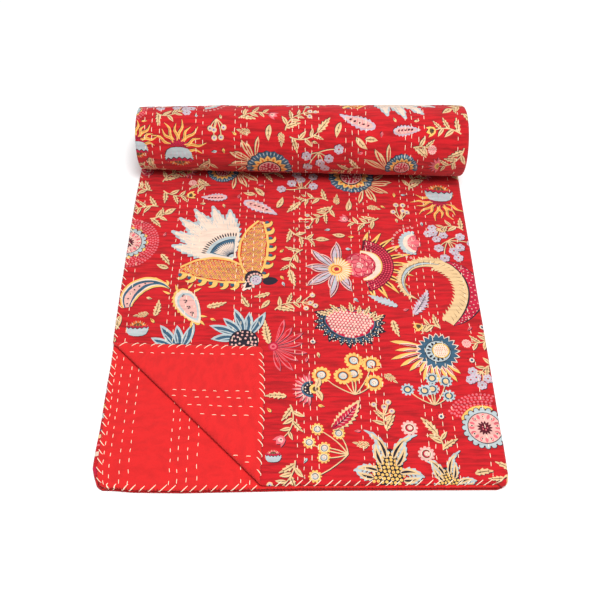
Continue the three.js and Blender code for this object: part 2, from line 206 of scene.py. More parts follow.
class Fold:
    """The folded, rolled quilt: where a point of the flat cloth comes to lie.

    A point is given by its distance across the cloth from the top layer's free edge, its distance along the
    cloth from the near edge, and its height over the middle between the two cloths, to the printed side.
    """

    def __init__(self, sizes):
        self.cloth = sizes.cloth / MM
        self.half_gap = sizes.cloth_gap / MM / 2
        self.layer = 2 * self.cloth + 2 * self.half_gap
        self.pitch = self.layer + sizes.layer_gap / MM
        self.stack = 4 * self.layer + 3 * sizes.layer_gap / MM
        self.width = sizes.cut_across / MM / 4
        self.along = sizes.cut_along / MM
        self.laid = sizes.laid / MM
        self.turn_pitch = self.stack + sizes.turn_gap / MM
        self.roll = sizes.roll_height / MM / 2 + self.turn_pitch / 4
        self.leg = sizes.corner_leg / MM
        self.bend = sizes.corner_bend / MM
        self.puff = sizes.puff / MM
        self.pucker = sizes.pucker / MM
        self.outer_radius = 1.5 * self.pitch
        self.inner_radius = 0.5 * self.pitch
        right = self.width - self.outer_radius - self.layer / 2
        left = self.inner_radius + self.layer / 2
        stretches = (right, np.pi * self.outer_radius, right - left, np.pi * self.inner_radius,
                     right - left, np.pi * self.inner_radius, right)
        self.marks = np.concatenate([[0], np.cumsum(stretches)])
        self.across = self.marks[-1]
        self.shift = np.zeros(3)

    def level_height(self, level):
        return self.layer / 2 + level * self.pitch

    def turn_angle(self, along):
        """Angle round the roll at a distance along the cloth, from 0 under its middle towards the back."""
        wound = np.maximum(along - self.laid, 0)
        radius = self.roll - self.stack / 2
        inside = np.maximum(radius ** 2 - self.turn_pitch * wound / np.pi, 1.0)
        return (radius - np.sqrt(inside)) * 2 * np.pi / self.turn_pitch

    def along_at(self, angle):
        """Distance along the cloth at an angle round the roll."""
        radius = self.roll - self.stack / 2
        return self.laid + radius * angle - self.turn_pitch * angle ** 2 / (4 * np.pi)

    def route(self, across, along):
        """Place across, height, printed side's direction, level and stretch of a point, before rolling."""
        m = self.marks
        outer, inner = self.outer_radius, self.inner_radius
        right = self.width + np.interp(along, EDGE_ALONG, RIGHT) - outer - self.layer / 2
        fold_left = np.interp(along, EDGE_ALONG, FOLD_LEFT) + inner + self.layer / 2
        top_left = np.interp(along, EDGE_ALONG, TOP_LEFT)
        second_left = np.interp(along, EDGE_ALONG, SECOND_LEFT)
        part = np.clip(np.searchsorted(m, across, side="right") - 1, 0, 6)
        share = (across - m[part]) / (m[part + 1] - m[part])
        middle = self.level_height(1.5)
        right_turn = np.radians(90 - 180 * share)
        left_turn = np.radians(-90 - 180 * share)
        pick = [part == number for number in range(7)]
        x = np.select(pick, [
            top_left + share * (right - top_left), right + outer * np.cos(right_turn),
            right + share * (fold_left - right), fold_left + inner * np.cos(left_turn),
            fold_left + share * (right - fold_left), right + inner * np.cos(right_turn),
            right + share * (second_left - right)])
        h = np.select(pick, [
            self.level_height(3), middle + outer * np.sin(right_turn), self.level_height(0),
            self.level_height(0.5) + inner * np.sin(left_turn), self.level_height(1),
            middle - inner * np.sin(right_turn), self.level_height(2)])
        face_x = np.select(pick, [0, np.cos(right_turn), 0, np.cos(left_turn), 0, -np.cos(right_turn), 0])
        face_h = np.select(pick, [1, np.sin(right_turn), -1, np.sin(left_turn), 1, np.sin(right_turn), -1])
        level = np.select(pick, [3, 3 - 3 * share, 0, share, 1, 1 + share, 2])

        def drawn_in(distance, depths):
            return np.exp(-np.maximum(distance, 0) / ROUND_FADE) * np.interp(along, ROUND_ALONG, depths)

        at_right = drawn_in(right - x, RIGHT_ROUND)
        at_fold = drawn_in(x - fold_left, FOLD_ROUND)
        at_second = drawn_in(x - second_left, SECOND_ROUND)
        folded = (part > 1) & (part < 5)
        x = x - np.where(part == 3, 0, at_right) + np.where(folded, at_fold, 0)
        x = x + np.where(part == 6, at_second, 0)
        return x, h, face_x, face_h, level, part

    def place(self, across, along, height):
        """Where points of the flat cloth lie, as an array of places in millimetres."""
        across, along, height = np.broadcast_arrays(*(np.asarray(v, float) for v in (across, along, height)))
        x, h, face_x, face_h, level, part = self.route(across, along)
        reach = np.interp(level, range(4), NEAR_REACH) + np.interp(x, BOW_ACROSS, BOW_REACH)
        y = along - reach * np.clip(1 - along / NEAR_FADE, 0, 1)
        full = np.interp(along, FULL_ALONG, FULLNESS)
        corner = (self.leg - x - y) / np.sqrt(2)
        turned = (part == 0) & (corner > 0) & (along < self.laid)
        flat_x = x + face_x * height
        flat_h = h * full + face_h * height
        angle = self.turn_angle(along)
        radius = self.roll - self.turn_pitch * angle / (2 * np.pi)
        lumps = 1 + ROLL_LUMPS * np.sin(flat_x / LUMP_LENGTH + 2 * angle) * (1 - np.cos(angle)) / 2
        arm = (radius - (h + face_h * height)) * lumps
        from_middle = flat_x / self.width - 0.5
        fatter = 1 + ROLL_TAPER * from_middle * ease(along, TAPER_START, self.laid)
        rolled = along > self.laid
        y = np.where(rolled, self.laid + fatter * arm * np.sin(angle), y)
        y = y - ROLL_SKEW * from_middle * ease(along, SKEW_START, self.laid)
        z = fatter * np.where(rolled, self.roll - arm * np.cos(angle), flat_h)
        x, y, z = self.turn_corner(turned, corner, flat_x, y, z, h, height)
        return self.settle(x, y, z)

    def turn_corner(self, turned, corner, x, y, z, h, height):
        """Folds the near left corner of the top layer over, plain side up."""
        bend = self.bend
        angle = np.clip(corner / bend, 0, np.pi)
        past = np.maximum(corner - np.pi * bend, 0)
        sag = (2 * bend - self.layer - CORNER_REST) * ease(past, 0, CORNER_SINK)
        inward = -bend * np.sin(angle) + past + np.sin(angle) * height
        raised = h + bend * (1 - np.cos(angle)) - sag + np.cos(angle) * height
        slide = (inward + corner) / np.sqrt(2)
        return np.where(turned, x + slide, x), np.where(turned, y + slide, y), np.where(turned, raised, z)

    def settle(self, x, y, z):
        """The slight sway, skew and unevenness of the whole folded quilt."""
        share = x / self.width
        low = np.minimum(1, z / self.stack)
        moved_z = z + (wave(y, *UNEVEN) + RIGHT_RISE * share) * low
        return np.stack([x + wave(y, *SWAY), y + RIGHT_BACK * share, moved_z], -1) + self.shift

    def centre_on(self, low, high):
        """Moves the quilt so that its box has the same middle as the box from low to high."""
        across = np.linspace(0, self.across, 500)[None, :]
        along = np.linspace(0, self.along, 700)[:, None]
        places = self.place(across, along, self.layer / 2).reshape(-1, 3)
        middle = (places.min(0) + places.max(0)) / 2
        self.shift = ((low + high) / 2 - middle) * (1, 1, 0)

    def edge_distance(self, across, along):
        """How far a point is from the nearest edge of the cloth, round the tip of the turned corner too."""
        sides = np.minimum(np.minimum(across, self.across - across), np.minimum(along, self.along - along))
        tip_x, tip_y = TIP_RADIUS - across, TIP_RADIUS - along
        tip = TIP_RADIUS - np.hypot(tip_x, tip_y)
        return np.maximum(np.where((tip_x > 0) & (tip_y > 0), tip, sides), 0)


# Lines along each fold: the stretch of the cloth that it takes up and the number of lines.
FOLD_STEPS = ((1, 9), (3, 6), (5, 6))
# The first distances along the cloth, close together where the near corners are round, and the next one.
NEAR_STEPS = (0, 1, 2.5, 5, 8, 12, 18)
NEXT_STEP = 24
# Steps between points: along the near edge, across what is folded or rolled in, and beside cut edges.
EDGE_STEP = 4.5
HIDDEN_STEP = 94
EDGE_ROW_STEP = 5.0
# How deep inside the cut edges the rows of points lie.
EDGE_DEPTHS = (0.35, 1.1, 2.2, 3.6)
# Distances from the turned corner's fold of the lines beside its bend, and the band that is kept for them.
CORNER_LINES = (-4, 14, 18, 23, 29, 36)
CORNER_BAND = (-6, 38)
# Steps of points across and along: the printed top, the front of the roll, and the plain cloth that shows.
TOP_GRID = (8.0, 2.9)
ROLL_GRID = (9.0, 3.6)
PLAIN_GRID = (5.5, 3.2)
# How far a border between two colours of the print may be straightened, and the room kept free beside it.
BORDER_SLACK = 0.11
BORDER_ROOM = 2.4
# Where the heart of the roll begins along the cloth, and how much closer together its lines are.
HEART = 1340
HEART_SHARE = 0.7
# How stitches of a row are spaced, where its first one lies, and how it wanders: size, length and roughness.
STITCH_SPACING = (0.84, 1.16)
FIRST_STITCH = (4, 14)
ROW_WANDER = (1.1, 125, 0.35)
# How far to each side a sewn row puckers the cloth and holds it down.
PUCKER_REACH = 13
HELD_REACH = 10
# Distances in which puffs and puckers fade out: beside the covered corner, before the roll, past the turned
# corner's fold, beside the side folds, where the roll's outside begins and where it ends at the front.
COVER_FADE = 7
ROLL_FADE = (50, 24)
CORNER_FADE = (4, 24)
SIDE_FADE = 14
START_FADE = 30
FRONT_FADE = 16
# The same on the turned corner past its bend and on the second layer, and their shares of puff and pucker.
FLAP_FADE = (2, 16)
FLAP_RELIEF = (0.4, 0.3)
SECOND_FADE = (6, 18)
SECOND_RELIEF = (0.4, 0.45)
# The angle, short of a full turn, at which the roll's front meets the laid quilt.
FRONT_SHORT = 0.45
# The diagonal of a unit square, as the fades measure it.
DIAGONAL = 1.414
# Creases of the top layer and of the roll's front: place, heading in degrees, length, width and height.
# A height below zero is a trough. Each fades out over a share of its length.
CREASE_SHARE = 0.55
TOP_CREASES = (
    (30, 265, 4, 74, 5, -0.9), (28, 274, 4, 80, 6, 1.5), (466, 252, -3, 84, 4.5, -0.9),
    (470, 260, -3, 90, 6, 1.3), (268, 130, 2, 70, 4.5, -0.8), (270, 138, 3, 76, 6, 1),
    (120, 560, 2, 150, 7, 1.2), (420, 548, -2, 170, 8, 1.3), (500, 470, 4, 110, 6, 1),
    (300, 330, -2, 120, 6, 0.8), (90, 470, 3, 90, 6, 0.9), (430, 130, 3, 90, 5.5, 0.9),
    (520, 120, -4, 80, 5, 0.9), (350, 430, 2, 100, 6, 0.8), (540, 330, 5, 60, 5, 0.9),
    (40, 400, -4, 70, 6, 0.9), (400, 62, 2, 110, 5, 0.8), (255, 300, 3, 60, 5, 0.8),
    (200, 480, -3, 90, 6, 0.8), (320, 20, 1, 120, 5, 0.7),
)
ROLL_CREASES = (
    (90, 60, 3, 120, 6, 1.1), (300, 96, -3, 140, 7, 1.2), (470, 70, 4, 120, 6, 1.2),
    (180, 130, -2, 120, 7, 1), (400, 150, 3, 150, 7, 1.2), (540, 110, -5, 80, 6, 1),
    (250, 30, 2, 110, 6, 0.9), (60, 160, 4, 100, 7, 1), (330, 200, 2, 160, 8, 1.2),
    (120, 230, -3, 150, 8, 1.2), (460, 250, 3, 150, 8, 1.2), (280, 300, -2, 180, 8, 1.2),
)
# Fine wrinkles that run across the cloth between its stitches: spacing, size in puckers and start.
WRINKLES = ((9.5, 0.5, 0.4), (12.3, 0.75, 2.2), (15.7, 0.85, 4.1), (20.9, 0.9, 5.5), (29, 0.9, 1.3),
            (43, 0.8, 3))


class Sewing:
    """Running stitches of the quilt, and the puffs, puckers and creases of its cloth."""

    def __init__(self, fold, threads):
        self.fold = fold
        self.pitch = threads.pitch / MM
        self.random = np.random.default_rng(41)
        marks = fold.marks
        self.front = fold.along_at(2 * np.pi - FRONT_SHORT)
        self.rows = {0: [], 2: [], 6: []}
        for across in TOP_ROWS:
            self.rows[0].append(self.row(across, 3.0, fold.laid - 12))
        for across in SECOND_ROWS:
            self.rows[6].append(self.row(marks[7] - across, 3.0, fold.leg))
        for across in ROLL_ROWS:
            self.rows[2].append(self.row(self.roll_across(across), fold.laid - 30, self.front + 12))

    def roll_across(self, x):
        """Distance across the cloth of a place x on the outside of the roll."""
        return self.fold.marks[2] + (self.fold.width - self.fold.outer_radius - self.fold.layer / 2 - x)

    def row(self, across, start, end):
        """Stitch middles of one row: where it is across the cloth, and the stitches along it."""
        count = int((end - start) / self.pitch)
        gaps = self.pitch * self.random.uniform(*STITCH_SPACING, count)
        along = start + self.random.uniform(*FIRST_STITCH) + np.cumsum(gaps) - gaps[0]
        along = along[along < end]
        size, length, rough = ROW_WANDER
        wander = size * np.sin(along / length + self.random.uniform(0, 6.3))
        return across + (wander + self.random.normal(0, rough, len(along))), along

    def ripple(self, part, across, along):
        """Puckers of one stretch of the cloth, low under each stitch, and how far rows hold it down."""
        height = np.zeros_like(across)
        sewn = np.zeros_like(across)
        for row_across, row_along in self.rows[part]:
            aside = across - row_across.mean()
            count = len(row_along)
            phase = np.interp(along, row_along, np.arange(count), left=-0.5, right=count - 0.5)
            height -= np.exp(-(aside / PUCKER_REACH) ** 2) * np.cos(2 * np.pi * phase)
            sewn = np.maximum(sewn, np.exp(-(aside / HELD_REACH) ** 2))
        for length, size, start in WRINKLES:
            drift = 5 * np.sin(across / 61 + start) + 3 * np.sin(across / 23 + along / 90 + 2.3 * start)
            patch = np.sin(across / 43 + along / 57 + 1.7 * start) * np.sin(across / 71 - along / 39 + start)
            height += size * (0.5 + 0.5 * patch) * np.sin(2 * np.pi * (along + drift) / length + start)
        return height, sewn

    def creases(self, x, y, table):
        """Height of the creases of a table."""
        height = np.zeros_like(x)
        for at_x, at_y, heading, length, width, rise in table:
            c, s = math.cos(math.radians(heading)), math.sin(math.radians(heading))
            forward = (x - at_x) * c + (y - at_y) * s
            aside = (y - at_y) * c - (x - at_x) * s
            fade = np.exp(-((forward / (CREASE_SHARE * length)) ** 4))
            height += rise * np.exp(-(aside / width) ** 2) * fade
        return height

    def relief(self, part, across, along, puff=1.0, pucker=1.0):
        """Puffs and puckers of one stretch of the cloth, with shares of each."""
        ripple, sewn = self.ripple(part, across, along)
        return puff * self.fold.puff * (1 - sewn) + pucker * self.fold.pucker * ripple

    def skin(self, across, along):
        """The points as arrays, their share of the way in from the edge, and the outer side's height."""
        fold = self.fold
        across, along = np.broadcast_arrays(np.asarray(across, float), np.asarray(along, float))
        rounded = np.clip(fold.edge_distance(across, along) / EDGE_ROUND, 0, 1)
        return across, along, rounded, fold.half_gap + fold.cloth * np.sqrt(1 - (1 - rounded) ** 2)

    def face_height(self, across, along):
        """Height of the printed face over the middle between the cloths."""
        fold, m = self.fold, self.fold.marks
        across, along, rounded, height = self.skin(across, along)
        past_fold = across + along - fold.leg
        covered = np.minimum(np.minimum(fold.leg - across, fold.leg - along), past_fold / DIAGONAL)
        bare = 1 - ease(covered, -COVER_FADE, 0)
        before_roll = 1 - ease(along, fold.laid - ROLL_FADE[0], fold.laid - ROLL_FADE[1])
        top = before_roll * ease(past_fold, *CORNER_FADE) * bare * rounded
        top = top * (1 - ease(across, m[1] - SIDE_FADE, m[1]))
        wound = ease(along, fold.laid, fold.laid + START_FADE)
        wound = wound * (1 - ease(along, self.front - FRONT_FADE, self.front))
        outside = wound * ease(across, m[2], m[2] + SIDE_FADE) * (1 - ease(across, m[3] - SIDE_FADE, m[3]))
        x = self.roll_across(0) - across
        top_relief = self.relief(0, across, along) + self.creases(across, along, TOP_CREASES)
        roll_relief = self.relief(2, across, along) + self.creases(x, self.front - along, ROLL_CREASES)
        return height + np.where(across <= m[1], top * top_relief, 0) + np.where(
            (across > m[2]) & (across < m[3]), outside * roll_relief, 0)

    def back_height(self, across, along):
        """Height of the plain back over the middle between the cloths, below zero."""
        fold, m = self.fold, self.fold.marks
        across, along, rounded, height = self.skin(across, along)
        turn_end = np.pi * fold.bend
        flap = ease((fold.leg - across - along) / DIAGONAL, turn_end + FLAP_FADE[0], turn_end + FLAP_FADE[1])
        second = ease((fold.leg - (m[7] - across) - along) / DIAGONAL, *SECOND_FADE)
        flap = flap * self.relief(0, across, along, *FLAP_RELIEF)
        second = second * self.relief(6, across, along, *SECOND_RELIEF)
        relief = np.where(across < m[1], flap, 0) + np.where(across > m[6], second, 0)
        return -(height + rounded * relief)


class Flat:
    """Points and lines of a cloth laid flat, to be joined into triangles."""

    def __init__(self):
        self.points = []
        self.lines = []
        self.count = 0

    def add(self, points):
        points = np.asarray(points, float).reshape(-1, 2)
        self.points.append(points)
        self.count += len(points)
        return range(self.count - len(points), self.count)

    def line(self, points, closed=False):
        numbers = list(self.add(points))
        self.lines += list(zip(numbers, numbers[1:]))
        if closed:
            self.lines.append((numbers[-1], numbers[0]))

    def triangles(self):
        """Places, triangles, and the given points behind each place."""
        given = [Vector(point) for point in np.concatenate(self.points)]
        places, _, faces, behind, _, _ = delaunay_2d_cdt(given, self.lines, [], 0, 1e-4, True)
        return np.array([tuple(place) for place in places]), np.array(faces), behind


def face_edges(faces):
    """The edges of triangles, first all their first ones, each from its lower to its higher number."""
    return np.sort(np.concatenate([faces[:, [0, 1]], faces[:, [1, 2]], faces[:, [2, 0]]]), 1)


def within(places, outline):
    """Which places an outline goes round."""
    x, y = places[:, :1], places[:, 1:]
    ends = np.roll(outline, -1, 0)
    rise = ends[:, 1] - outline[:, 1]
    slope = (ends[:, 0] - outline[:, 0]) / np.where(rise == 0, 1, rise)
    before = x < outline[:, 0] + (y - outline[:, 1]) * slope
    upward = before & (outline[:, 1] <= y) & (ends[:, 1] > y)
    downward = before & (outline[:, 1] > y) & (ends[:, 1] <= y)
    return upward.sum(1) != downward.sum(1)


class Dye:
    """The print's patches as one flat sheet of colours, and the lines along which two colours meet."""

    def __init__(self, patches):
        flat = Flat()
        for points, _ in patches:
            flat.line(points, closed=True)
        self.names = sorted({name for _, name in patches} | {"base"})
        number = {name: at for at, name in enumerate(self.names)}
        self.base = number["base"]
        self.places, self.faces, _ = flat.triangles()
        self.colours = np.full(len(self.faces), self.base)
        middle = self.places[self.faces].mean(1)
        order = np.argsort(middle[:, 0])
        middle_across = middle[order, 0]
        for points, name in patches:
            low, high = points.min(0), points.max(0)
            first, last = np.searchsorted(middle_across, (low[0], high[0]))
            near = order[first:last]
            near = near[(middle[near, 1] > low[1]) & (middle[near, 1] < high[1])]
            self.colours[near[within(middle[near], points)]] = number[name]
        deep = np.zeros((len(self.places), 1))
        solid = np.concatenate([self.places, deep], 1)
        self.tree = BVHTree.FromPolygons(solid.tolist(), self.faces.tolist())

    def colour_at(self, points):
        """The number of the colour at each point."""
        down = Vector((0, 0, -1))
        found = [self.tree.ray_cast(Vector((x, y, 1)), down)[2] for x, y in points]
        return np.array([self.base if at is None else self.colours[at] for at in found])

    def borders(self):
        """Places and lines where two colours meet, without the places that hardly bend a line."""
        edges = face_edges(self.faces)
        colours = np.tile(self.colours, 3)
        order = np.lexsort((edges[:, 1], edges[:, 0]))
        edges, colours = edges[order], colours[order]
        same = (edges[1:] == edges[:-1]).all(1)
        meet = edges[1:][same & (colours[1:] != colours[:-1])]
        beside = {}
        for a, b in meet.tolist():
            beside.setdefault(a, set()).add(b)
            beside.setdefault(b, set()).add(a)
        for place in list(beside):
            if len(beside[place]) != 2:
                continue
            a, b = beside[place]
            if b in beside[a]:
                continue
            line = self.places[b] - self.places[a]
            off = self.places[place] - self.places[a]
            if abs(line[0] * off[1] - line[1] * off[0]) < BORDER_SLACK * np.hypot(*line):
                beside[a].remove(place)
                beside[b].remove(place)
                beside[a].add(b)
                beside[b].add(a)
                del beside[place]
        kept = sorted(beside)
        number = {place: at for at, place in enumerate(kept)}
        return self.places[kept], [(number[a], number[b]) for a in kept for b in beside[a] if a < b]


def pairs(across, along):
    """Points from distances across and along the cloth, either of which may be one for all."""
    return np.stack(np.broadcast_arrays(across, along), 1)


def spread(start, end, step):
    """Evenly spread values from start to end, no further apart than step."""
    return np.linspace(start, end, max(2, int(math.ceil((end - start) / step)) + 1))


def stations(fold, laid_step, roll_step):
    """Distances along the cloth, closer together round the roll and closest in its heart."""
    laid, rolled = spread(NEXT_STEP, fold.laid, laid_step), spread(fold.laid, HEART, roll_step)
    heart = spread(HEART, fold.along, roll_step * HEART_SHARE)
    return np.concatenate([NEAR_STEPS, laid[:-1], rolled[:-1], heart])


def staggered(left, right, near, far, across_step, along_step):
    """A grid of points whose every second row is shifted by half a step."""
    points = []
    for number, along in enumerate(spread(near, far, along_step)):
        row = spread(left, right, across_step)
        shift = (row[1] - row[0]) / 2 if number % 2 else 0
        points.append(pairs(row + shift, along))
    points = np.concatenate(points)
    return points[points[:, 0] <= right]


def grid(across, along):
    across, along = np.meshgrid(across, along)
    return np.stack([across.ravel(), along.ravel()], 1)


def bend_lines(fold):
    """Distances across the cloth of the lines along its three folds, fold by fold."""
    return [np.linspace(fold.marks[part], fold.marks[part + 1], steps) for part, steps in FOLD_STEPS]


def outline(fold, along):
    """The cloth's cut edge, anticlockwise, with the rounded tip of the corner that is turned back."""
    flats = [(fold.marks[part], fold.marks[part + 1]) for part in (0, 2, 4, 6)]
    near = [spread(TIP_RADIUS, flats[0][1], EDGE_STEP)]
    far = [spread(*flats[0], HIDDEN_STEP)[:-1]]
    for bend, flat in zip(bend_lines(fold), flats[1:]):
        near += [bend[1:-1], spread(*flat, EDGE_STEP)]
        far += [bend[:-1], spread(*flat, HIDDEN_STEP)[:-1]]
    far = np.concatenate(far)[::-1]
    left = along[along >= TIP_RADIUS + 1][-2::-1]
    tip = arc(TIP_RADIUS, 180, 270, 8, TIP_RADIUS, TIP_RADIUS)[:-1]
    return np.concatenate([pairs(np.concatenate(near), 0), pairs(fold.across, along[1:]),
                           pairs(far, fold.along), pairs(0, left), tip])


def lay_lines(flat, fold, along):
    """Adds the lines along the three folds."""
    for bend in bend_lines(fold):
        for across in bend:
            flat.line(pairs(across, along))


def corner_lines(fold):
    """Points on lines beside the fold of the turned corner, close together where it bends."""
    points = []
    for distance in np.concatenate([np.linspace(-1.5, np.pi * fold.bend + 1.5, 13), CORNER_LINES]):
        reach = fold.leg - distance * math.sqrt(2)
        across = spread(5.0, reach - 5.0, 5.5)
        points.append(pairs(across, reach - across))
    return np.concatenate(points)


def off_corner(fold, points):
    """The points that lie clear of the lines beside the turned corner's fold."""
    distance = (fold.leg - points[:, 0] - points[:, 1]) / math.sqrt(2)
    return points[(distance < CORNER_BAND[0]) | (distance > CORNER_BAND[1]) | (points[:, 0] > fold.marks[1])]


def clear_of(points, others, cell):
    """The points whose square of a grid holds none of the others."""
    taken = set(map(tuple, np.floor(others / cell).astype(int)))
    keep = [tuple(square) not in taken for square in np.floor(points / cell).astype(int)]
    return points[np.array(keep)]


def edge_points(fold):
    """Rows of points close inside the cut edges that show, where the cloth rounds over."""
    points = []
    for depth in EDGE_DEPTHS:
        along = spread(TIP_RADIUS + 1, fold.laid - 24, EDGE_ROW_STEP) + depth
        across = spread(TIP_RADIUS + 1, fold.across - 4, EDGE_ROW_STEP)
        points += [pairs(depth, along), pairs(fold.across - depth, along), pairs(across, depth),
                   arc(TIP_RADIUS - depth, 185, 265, 6, TIP_RADIUS, TIP_RADIUS)]
    points = np.concatenate(points)
    inside = [(points[:, 0] < mark[0] - 0.8) | (points[:, 0] > mark[-1] + 0.8) for mark in bend_lines(fold)]
    return points[np.logical_and.reduce(inside)]


def hidden_points(fold, along):
    """Points on the layers that are folded in or rolled in, far apart across."""
    m = fold.marks
    across = [spread(m[part], m[part + 1], HIDDEN_STEP)[1:-1] for part in (0, 2, 4, 6)]
    return grid(np.concatenate(across), along[1:-1])


def on_cloth(fold, places, faces):
    """Which triangles lie on the cloth, and not past its cut edge or along it."""
    corners = places[faces]
    middle = corners.mean(1)
    kept = (middle > 0).all(1) & (middle < (fold.across, fold.along)).all(1)
    off_tip = TIP_RADIUS - middle
    kept &= ~((off_tip > 0).all(1) & (np.hypot(*off_tip.T) > TIP_RADIUS * 0.999))
    for axis, line in ((0, 0), (0, fold.across), (1, 0), (1, fold.along)):
        kept &= ~(np.abs(corners[:, :, axis] - line) < 1e-4).all(1)
    return kept


def joined_cloth(fold, side, outer, surface):
    """A closed cloth from its outer side's flat points and a plainer inner side with the same cut edge."""
    places, faces, _ = outer.triangles()
    faces = faces[on_cloth(fold, places, faces)]
    used = np.unique(faces)
    renumber = np.full(len(places), -1)
    renumber[used] = np.arange(len(used))
    places, faces = places[used], renumber[faces]
    edges, counts = np.unique(face_edges(faces), axis=0, return_counts=True)
    rim = edges[counts == 1]
    rim_points = np.unique(rim)
    rim_number = {point: number for number, point in enumerate(rim_points)}
    inner = Flat()
    inner.add(places[rim_points])
    inner.lines = [(rim_number[a], rim_number[b]) for a, b in rim]
    rim_count = len(rim_points)
    along = stations(fold, 32, 8.0)
    lay_lines(inner, fold, along)
    inner.add(off_corner(fold, hidden_points(fold, along)))
    inner.add(corner_lines(fold))
    far, right = fold.along - 3, fold.across - 3
    inner.add([(3, far), (right, far), (right, 3)])
    inner_places, inner_faces, behind = inner.triangles()
    inner_faces = inner_faces[on_cloth(fold, inner_places, inner_faces)]
    number = np.full(len(inner_places), -1)
    extra = []
    for at, sources in enumerate(behind):
        rims = [source for source in sources if source < rim_count]
        if rims:
            number[at] = rim_points[rims[0]]
        else:
            number[at] = len(places) + len(extra)
            extra.append(at)
    outer_height = surface(places[:, 0], places[:, 1])
    inner_places = inner_places[extra]
    shape = np.concatenate([fold.place(places[:, 0], places[:, 1], outer_height),
                            fold.place(inner_places[:, 0], inner_places[:, 1], side * fold.half_gap)])
    flat_places = np.concatenate([places, inner_places])
    inner_faces = number[inner_faces]
    turned_faces = (faces, inner_faces[:, ::-1]) if side > 0 else (faces[:, ::-1], inner_faces)
    return shape, flat_places, np.concatenate(turned_faces), len(faces)


def new_mesh(name, shape, faces):
    """A smooth mesh object, in metres, from places in millimetres and triangles."""
    mesh = bpy.data.meshes.new(name)
    mesh.vertices.add(len(shape))
    mesh.vertices.foreach_set("co", (shape * MM).astype(np.float32).ravel())
    mesh.loops.add(faces.size)
    mesh.loops.foreach_set("vertex_index", faces.astype(np.int32).ravel())
    mesh.polygons.add(len(faces))
    mesh.polygons.foreach_set("loop_start", np.arange(0, faces.size, 3, dtype=np.int32))
    mesh.polygons.foreach_set("loop_total", np.full(len(faces), 3, np.int32))
    mesh.polygons.foreach_set("use_smooth", np.ones(len(faces), bool))
    mesh.update(calc_edges=True)
    piece = bpy.data.objects.new(name, mesh)
    bpy.context.scene.collection.objects.link(piece)
    return piece


def turn(points, degrees):
    """Points turned about the origin."""
    c, s = np.cos(np.radians(degrees)), np.sin(np.radians(degrees))
    return points @ np.array([[c, s], [-s, c]])


def moved(patches, x=0, y=0, degrees=0, scale=1.0):
    """Patches sized, turned and set down at a place."""
    return [(turn(points * scale, degrees) + (x, y), colour) for points, colour in patches]


# Colours that are printed over a dark outline, the least area in square millimetres of such a patch, and how
# far its outline is shifted.
OUTLINED = ("cream", "pale", "yellow", "sky", "lilac", "blush", "pink", "teal")
OUTLINED_AREA = 22
OUTLINE_SHIFT = (0.95, -0.95)


def outlined(patches):
    """Patches over a dark copy of themselves, which shows along one side as in a block print."""
    under = []
    for points, name in patches:
        x, y = points[:, 0], points[:, 1]
        area = abs(np.sum(x * np.roll(y, -1) - y * np.roll(x, -1))) / 2
        if name in OUTLINED and area > OUTLINED_AREA:
            under.append((points + OUTLINE_SHIFT, "ink"))
    return under + patches


def arc(radius, start, end, steps, x=0.0, y=0.0):
    """Points on an arc, from one heading to another."""
    angle = np.radians(np.linspace(start, end, steps))
    return np.stack([x + radius * np.cos(angle), y + radius * np.sin(angle)], 1)


def spot(radius, heading):
    """The place at a distance from the origin in one heading."""
    return arc(radius, heading, heading, 1)[0]


def disc(radius, colour, x=0.0, y=0.0, steps=12):
    return (arc(radius, 0, 360 * (1 - 1 / steps), steps, x, y), colour)


def rings(*discs, x=0.0, y=0.0):
    """Discs over one another, each with its radius, colour and number of corners."""
    return [disc(radius, colour, x, y, steps) for radius, colour, steps in discs]


def dotted_arc(radius, start, end, count, size, colour, steps=6):
    """A row of discs on an arc."""
    return [disc(size, colour, *place, steps) for place in arc(radius, start, end, count)]


def sector(inner, outer, start, end, colour, steps):
    """A part of a ring between two headings."""
    return (np.concatenate([arc(outer, start, end, steps), arc(inner, end, start, steps)]), colour)


def swell(share, full):
    """A smooth rise and fall along a leaf, highest at the share full of its length."""
    return np.sin(np.pi * share ** (np.log(0.5) / np.log(full)))


def petal_outline(length, width, full, sharp=1.0, steps=9, start=0.0):
    """A leaf or petal along +X, widest at the share full of its length."""
    share = np.linspace(0, 1, steps)
    half = width / 2 * swell(share, full) ** sharp
    upper = np.stack([start + length * share, half], 1)
    lower = np.stack([start + length * share[-2:0:-1], -half[-2:0:-1]], 1)
    return np.concatenate([upper, lower])


def bent(points, degrees, length):
    """Points bent sideways along an arc that turns by degrees over a length."""
    if not degrees:
        return points
    curve = np.radians(degrees) / length
    angle = points[:, 0] * curve
    radius = 1 / curve - points[:, 1]
    return np.stack([radius * np.sin(angle), 1 / curve - radius * np.cos(angle)], 1)


def toothed_outline(length, width, teeth, depth, full=0.4, lean=0.35):
    """A leaf along +X whose sides are cut into teeth that lean to its tip."""
    share = np.array([(tooth + place) / teeth for tooth in range(teeth) for place in (0.0, 0.5 + lean)])
    side = np.tile([1 - depth, 1.0], teeth)
    half = width / 2 * side * (swell(share, full) * 0.9 + 0.1)
    half[0] = 0.12 * width
    upper = np.stack([length * share, half], 1)
    lower = np.stack([length * share[::-1], -half[::-1]], 1)
    return np.concatenate([upper, [[length, 0]], lower])


def smooth(points, per_step):
    """A rounded path through a few points."""
    points = np.asarray(points, float)
    ends = np.concatenate([[2 * points[0] - points[1]], points, [2 * points[-1] - points[-2]]])
    share = np.linspace(0, 1, per_step, endpoint=False)[:, None]
    path = []
    for a, b, c, d in zip(ends, ends[1:], ends[2:], ends[3:]):
        path.append(0.5 * (2 * b + (c - a) * share + (2 * a - 5 * b + 4 * c - d) * share ** 2
                           + (3 * b - 3 * c + d - a) * share ** 3))
    return np.concatenate(path + [points[-1:]])


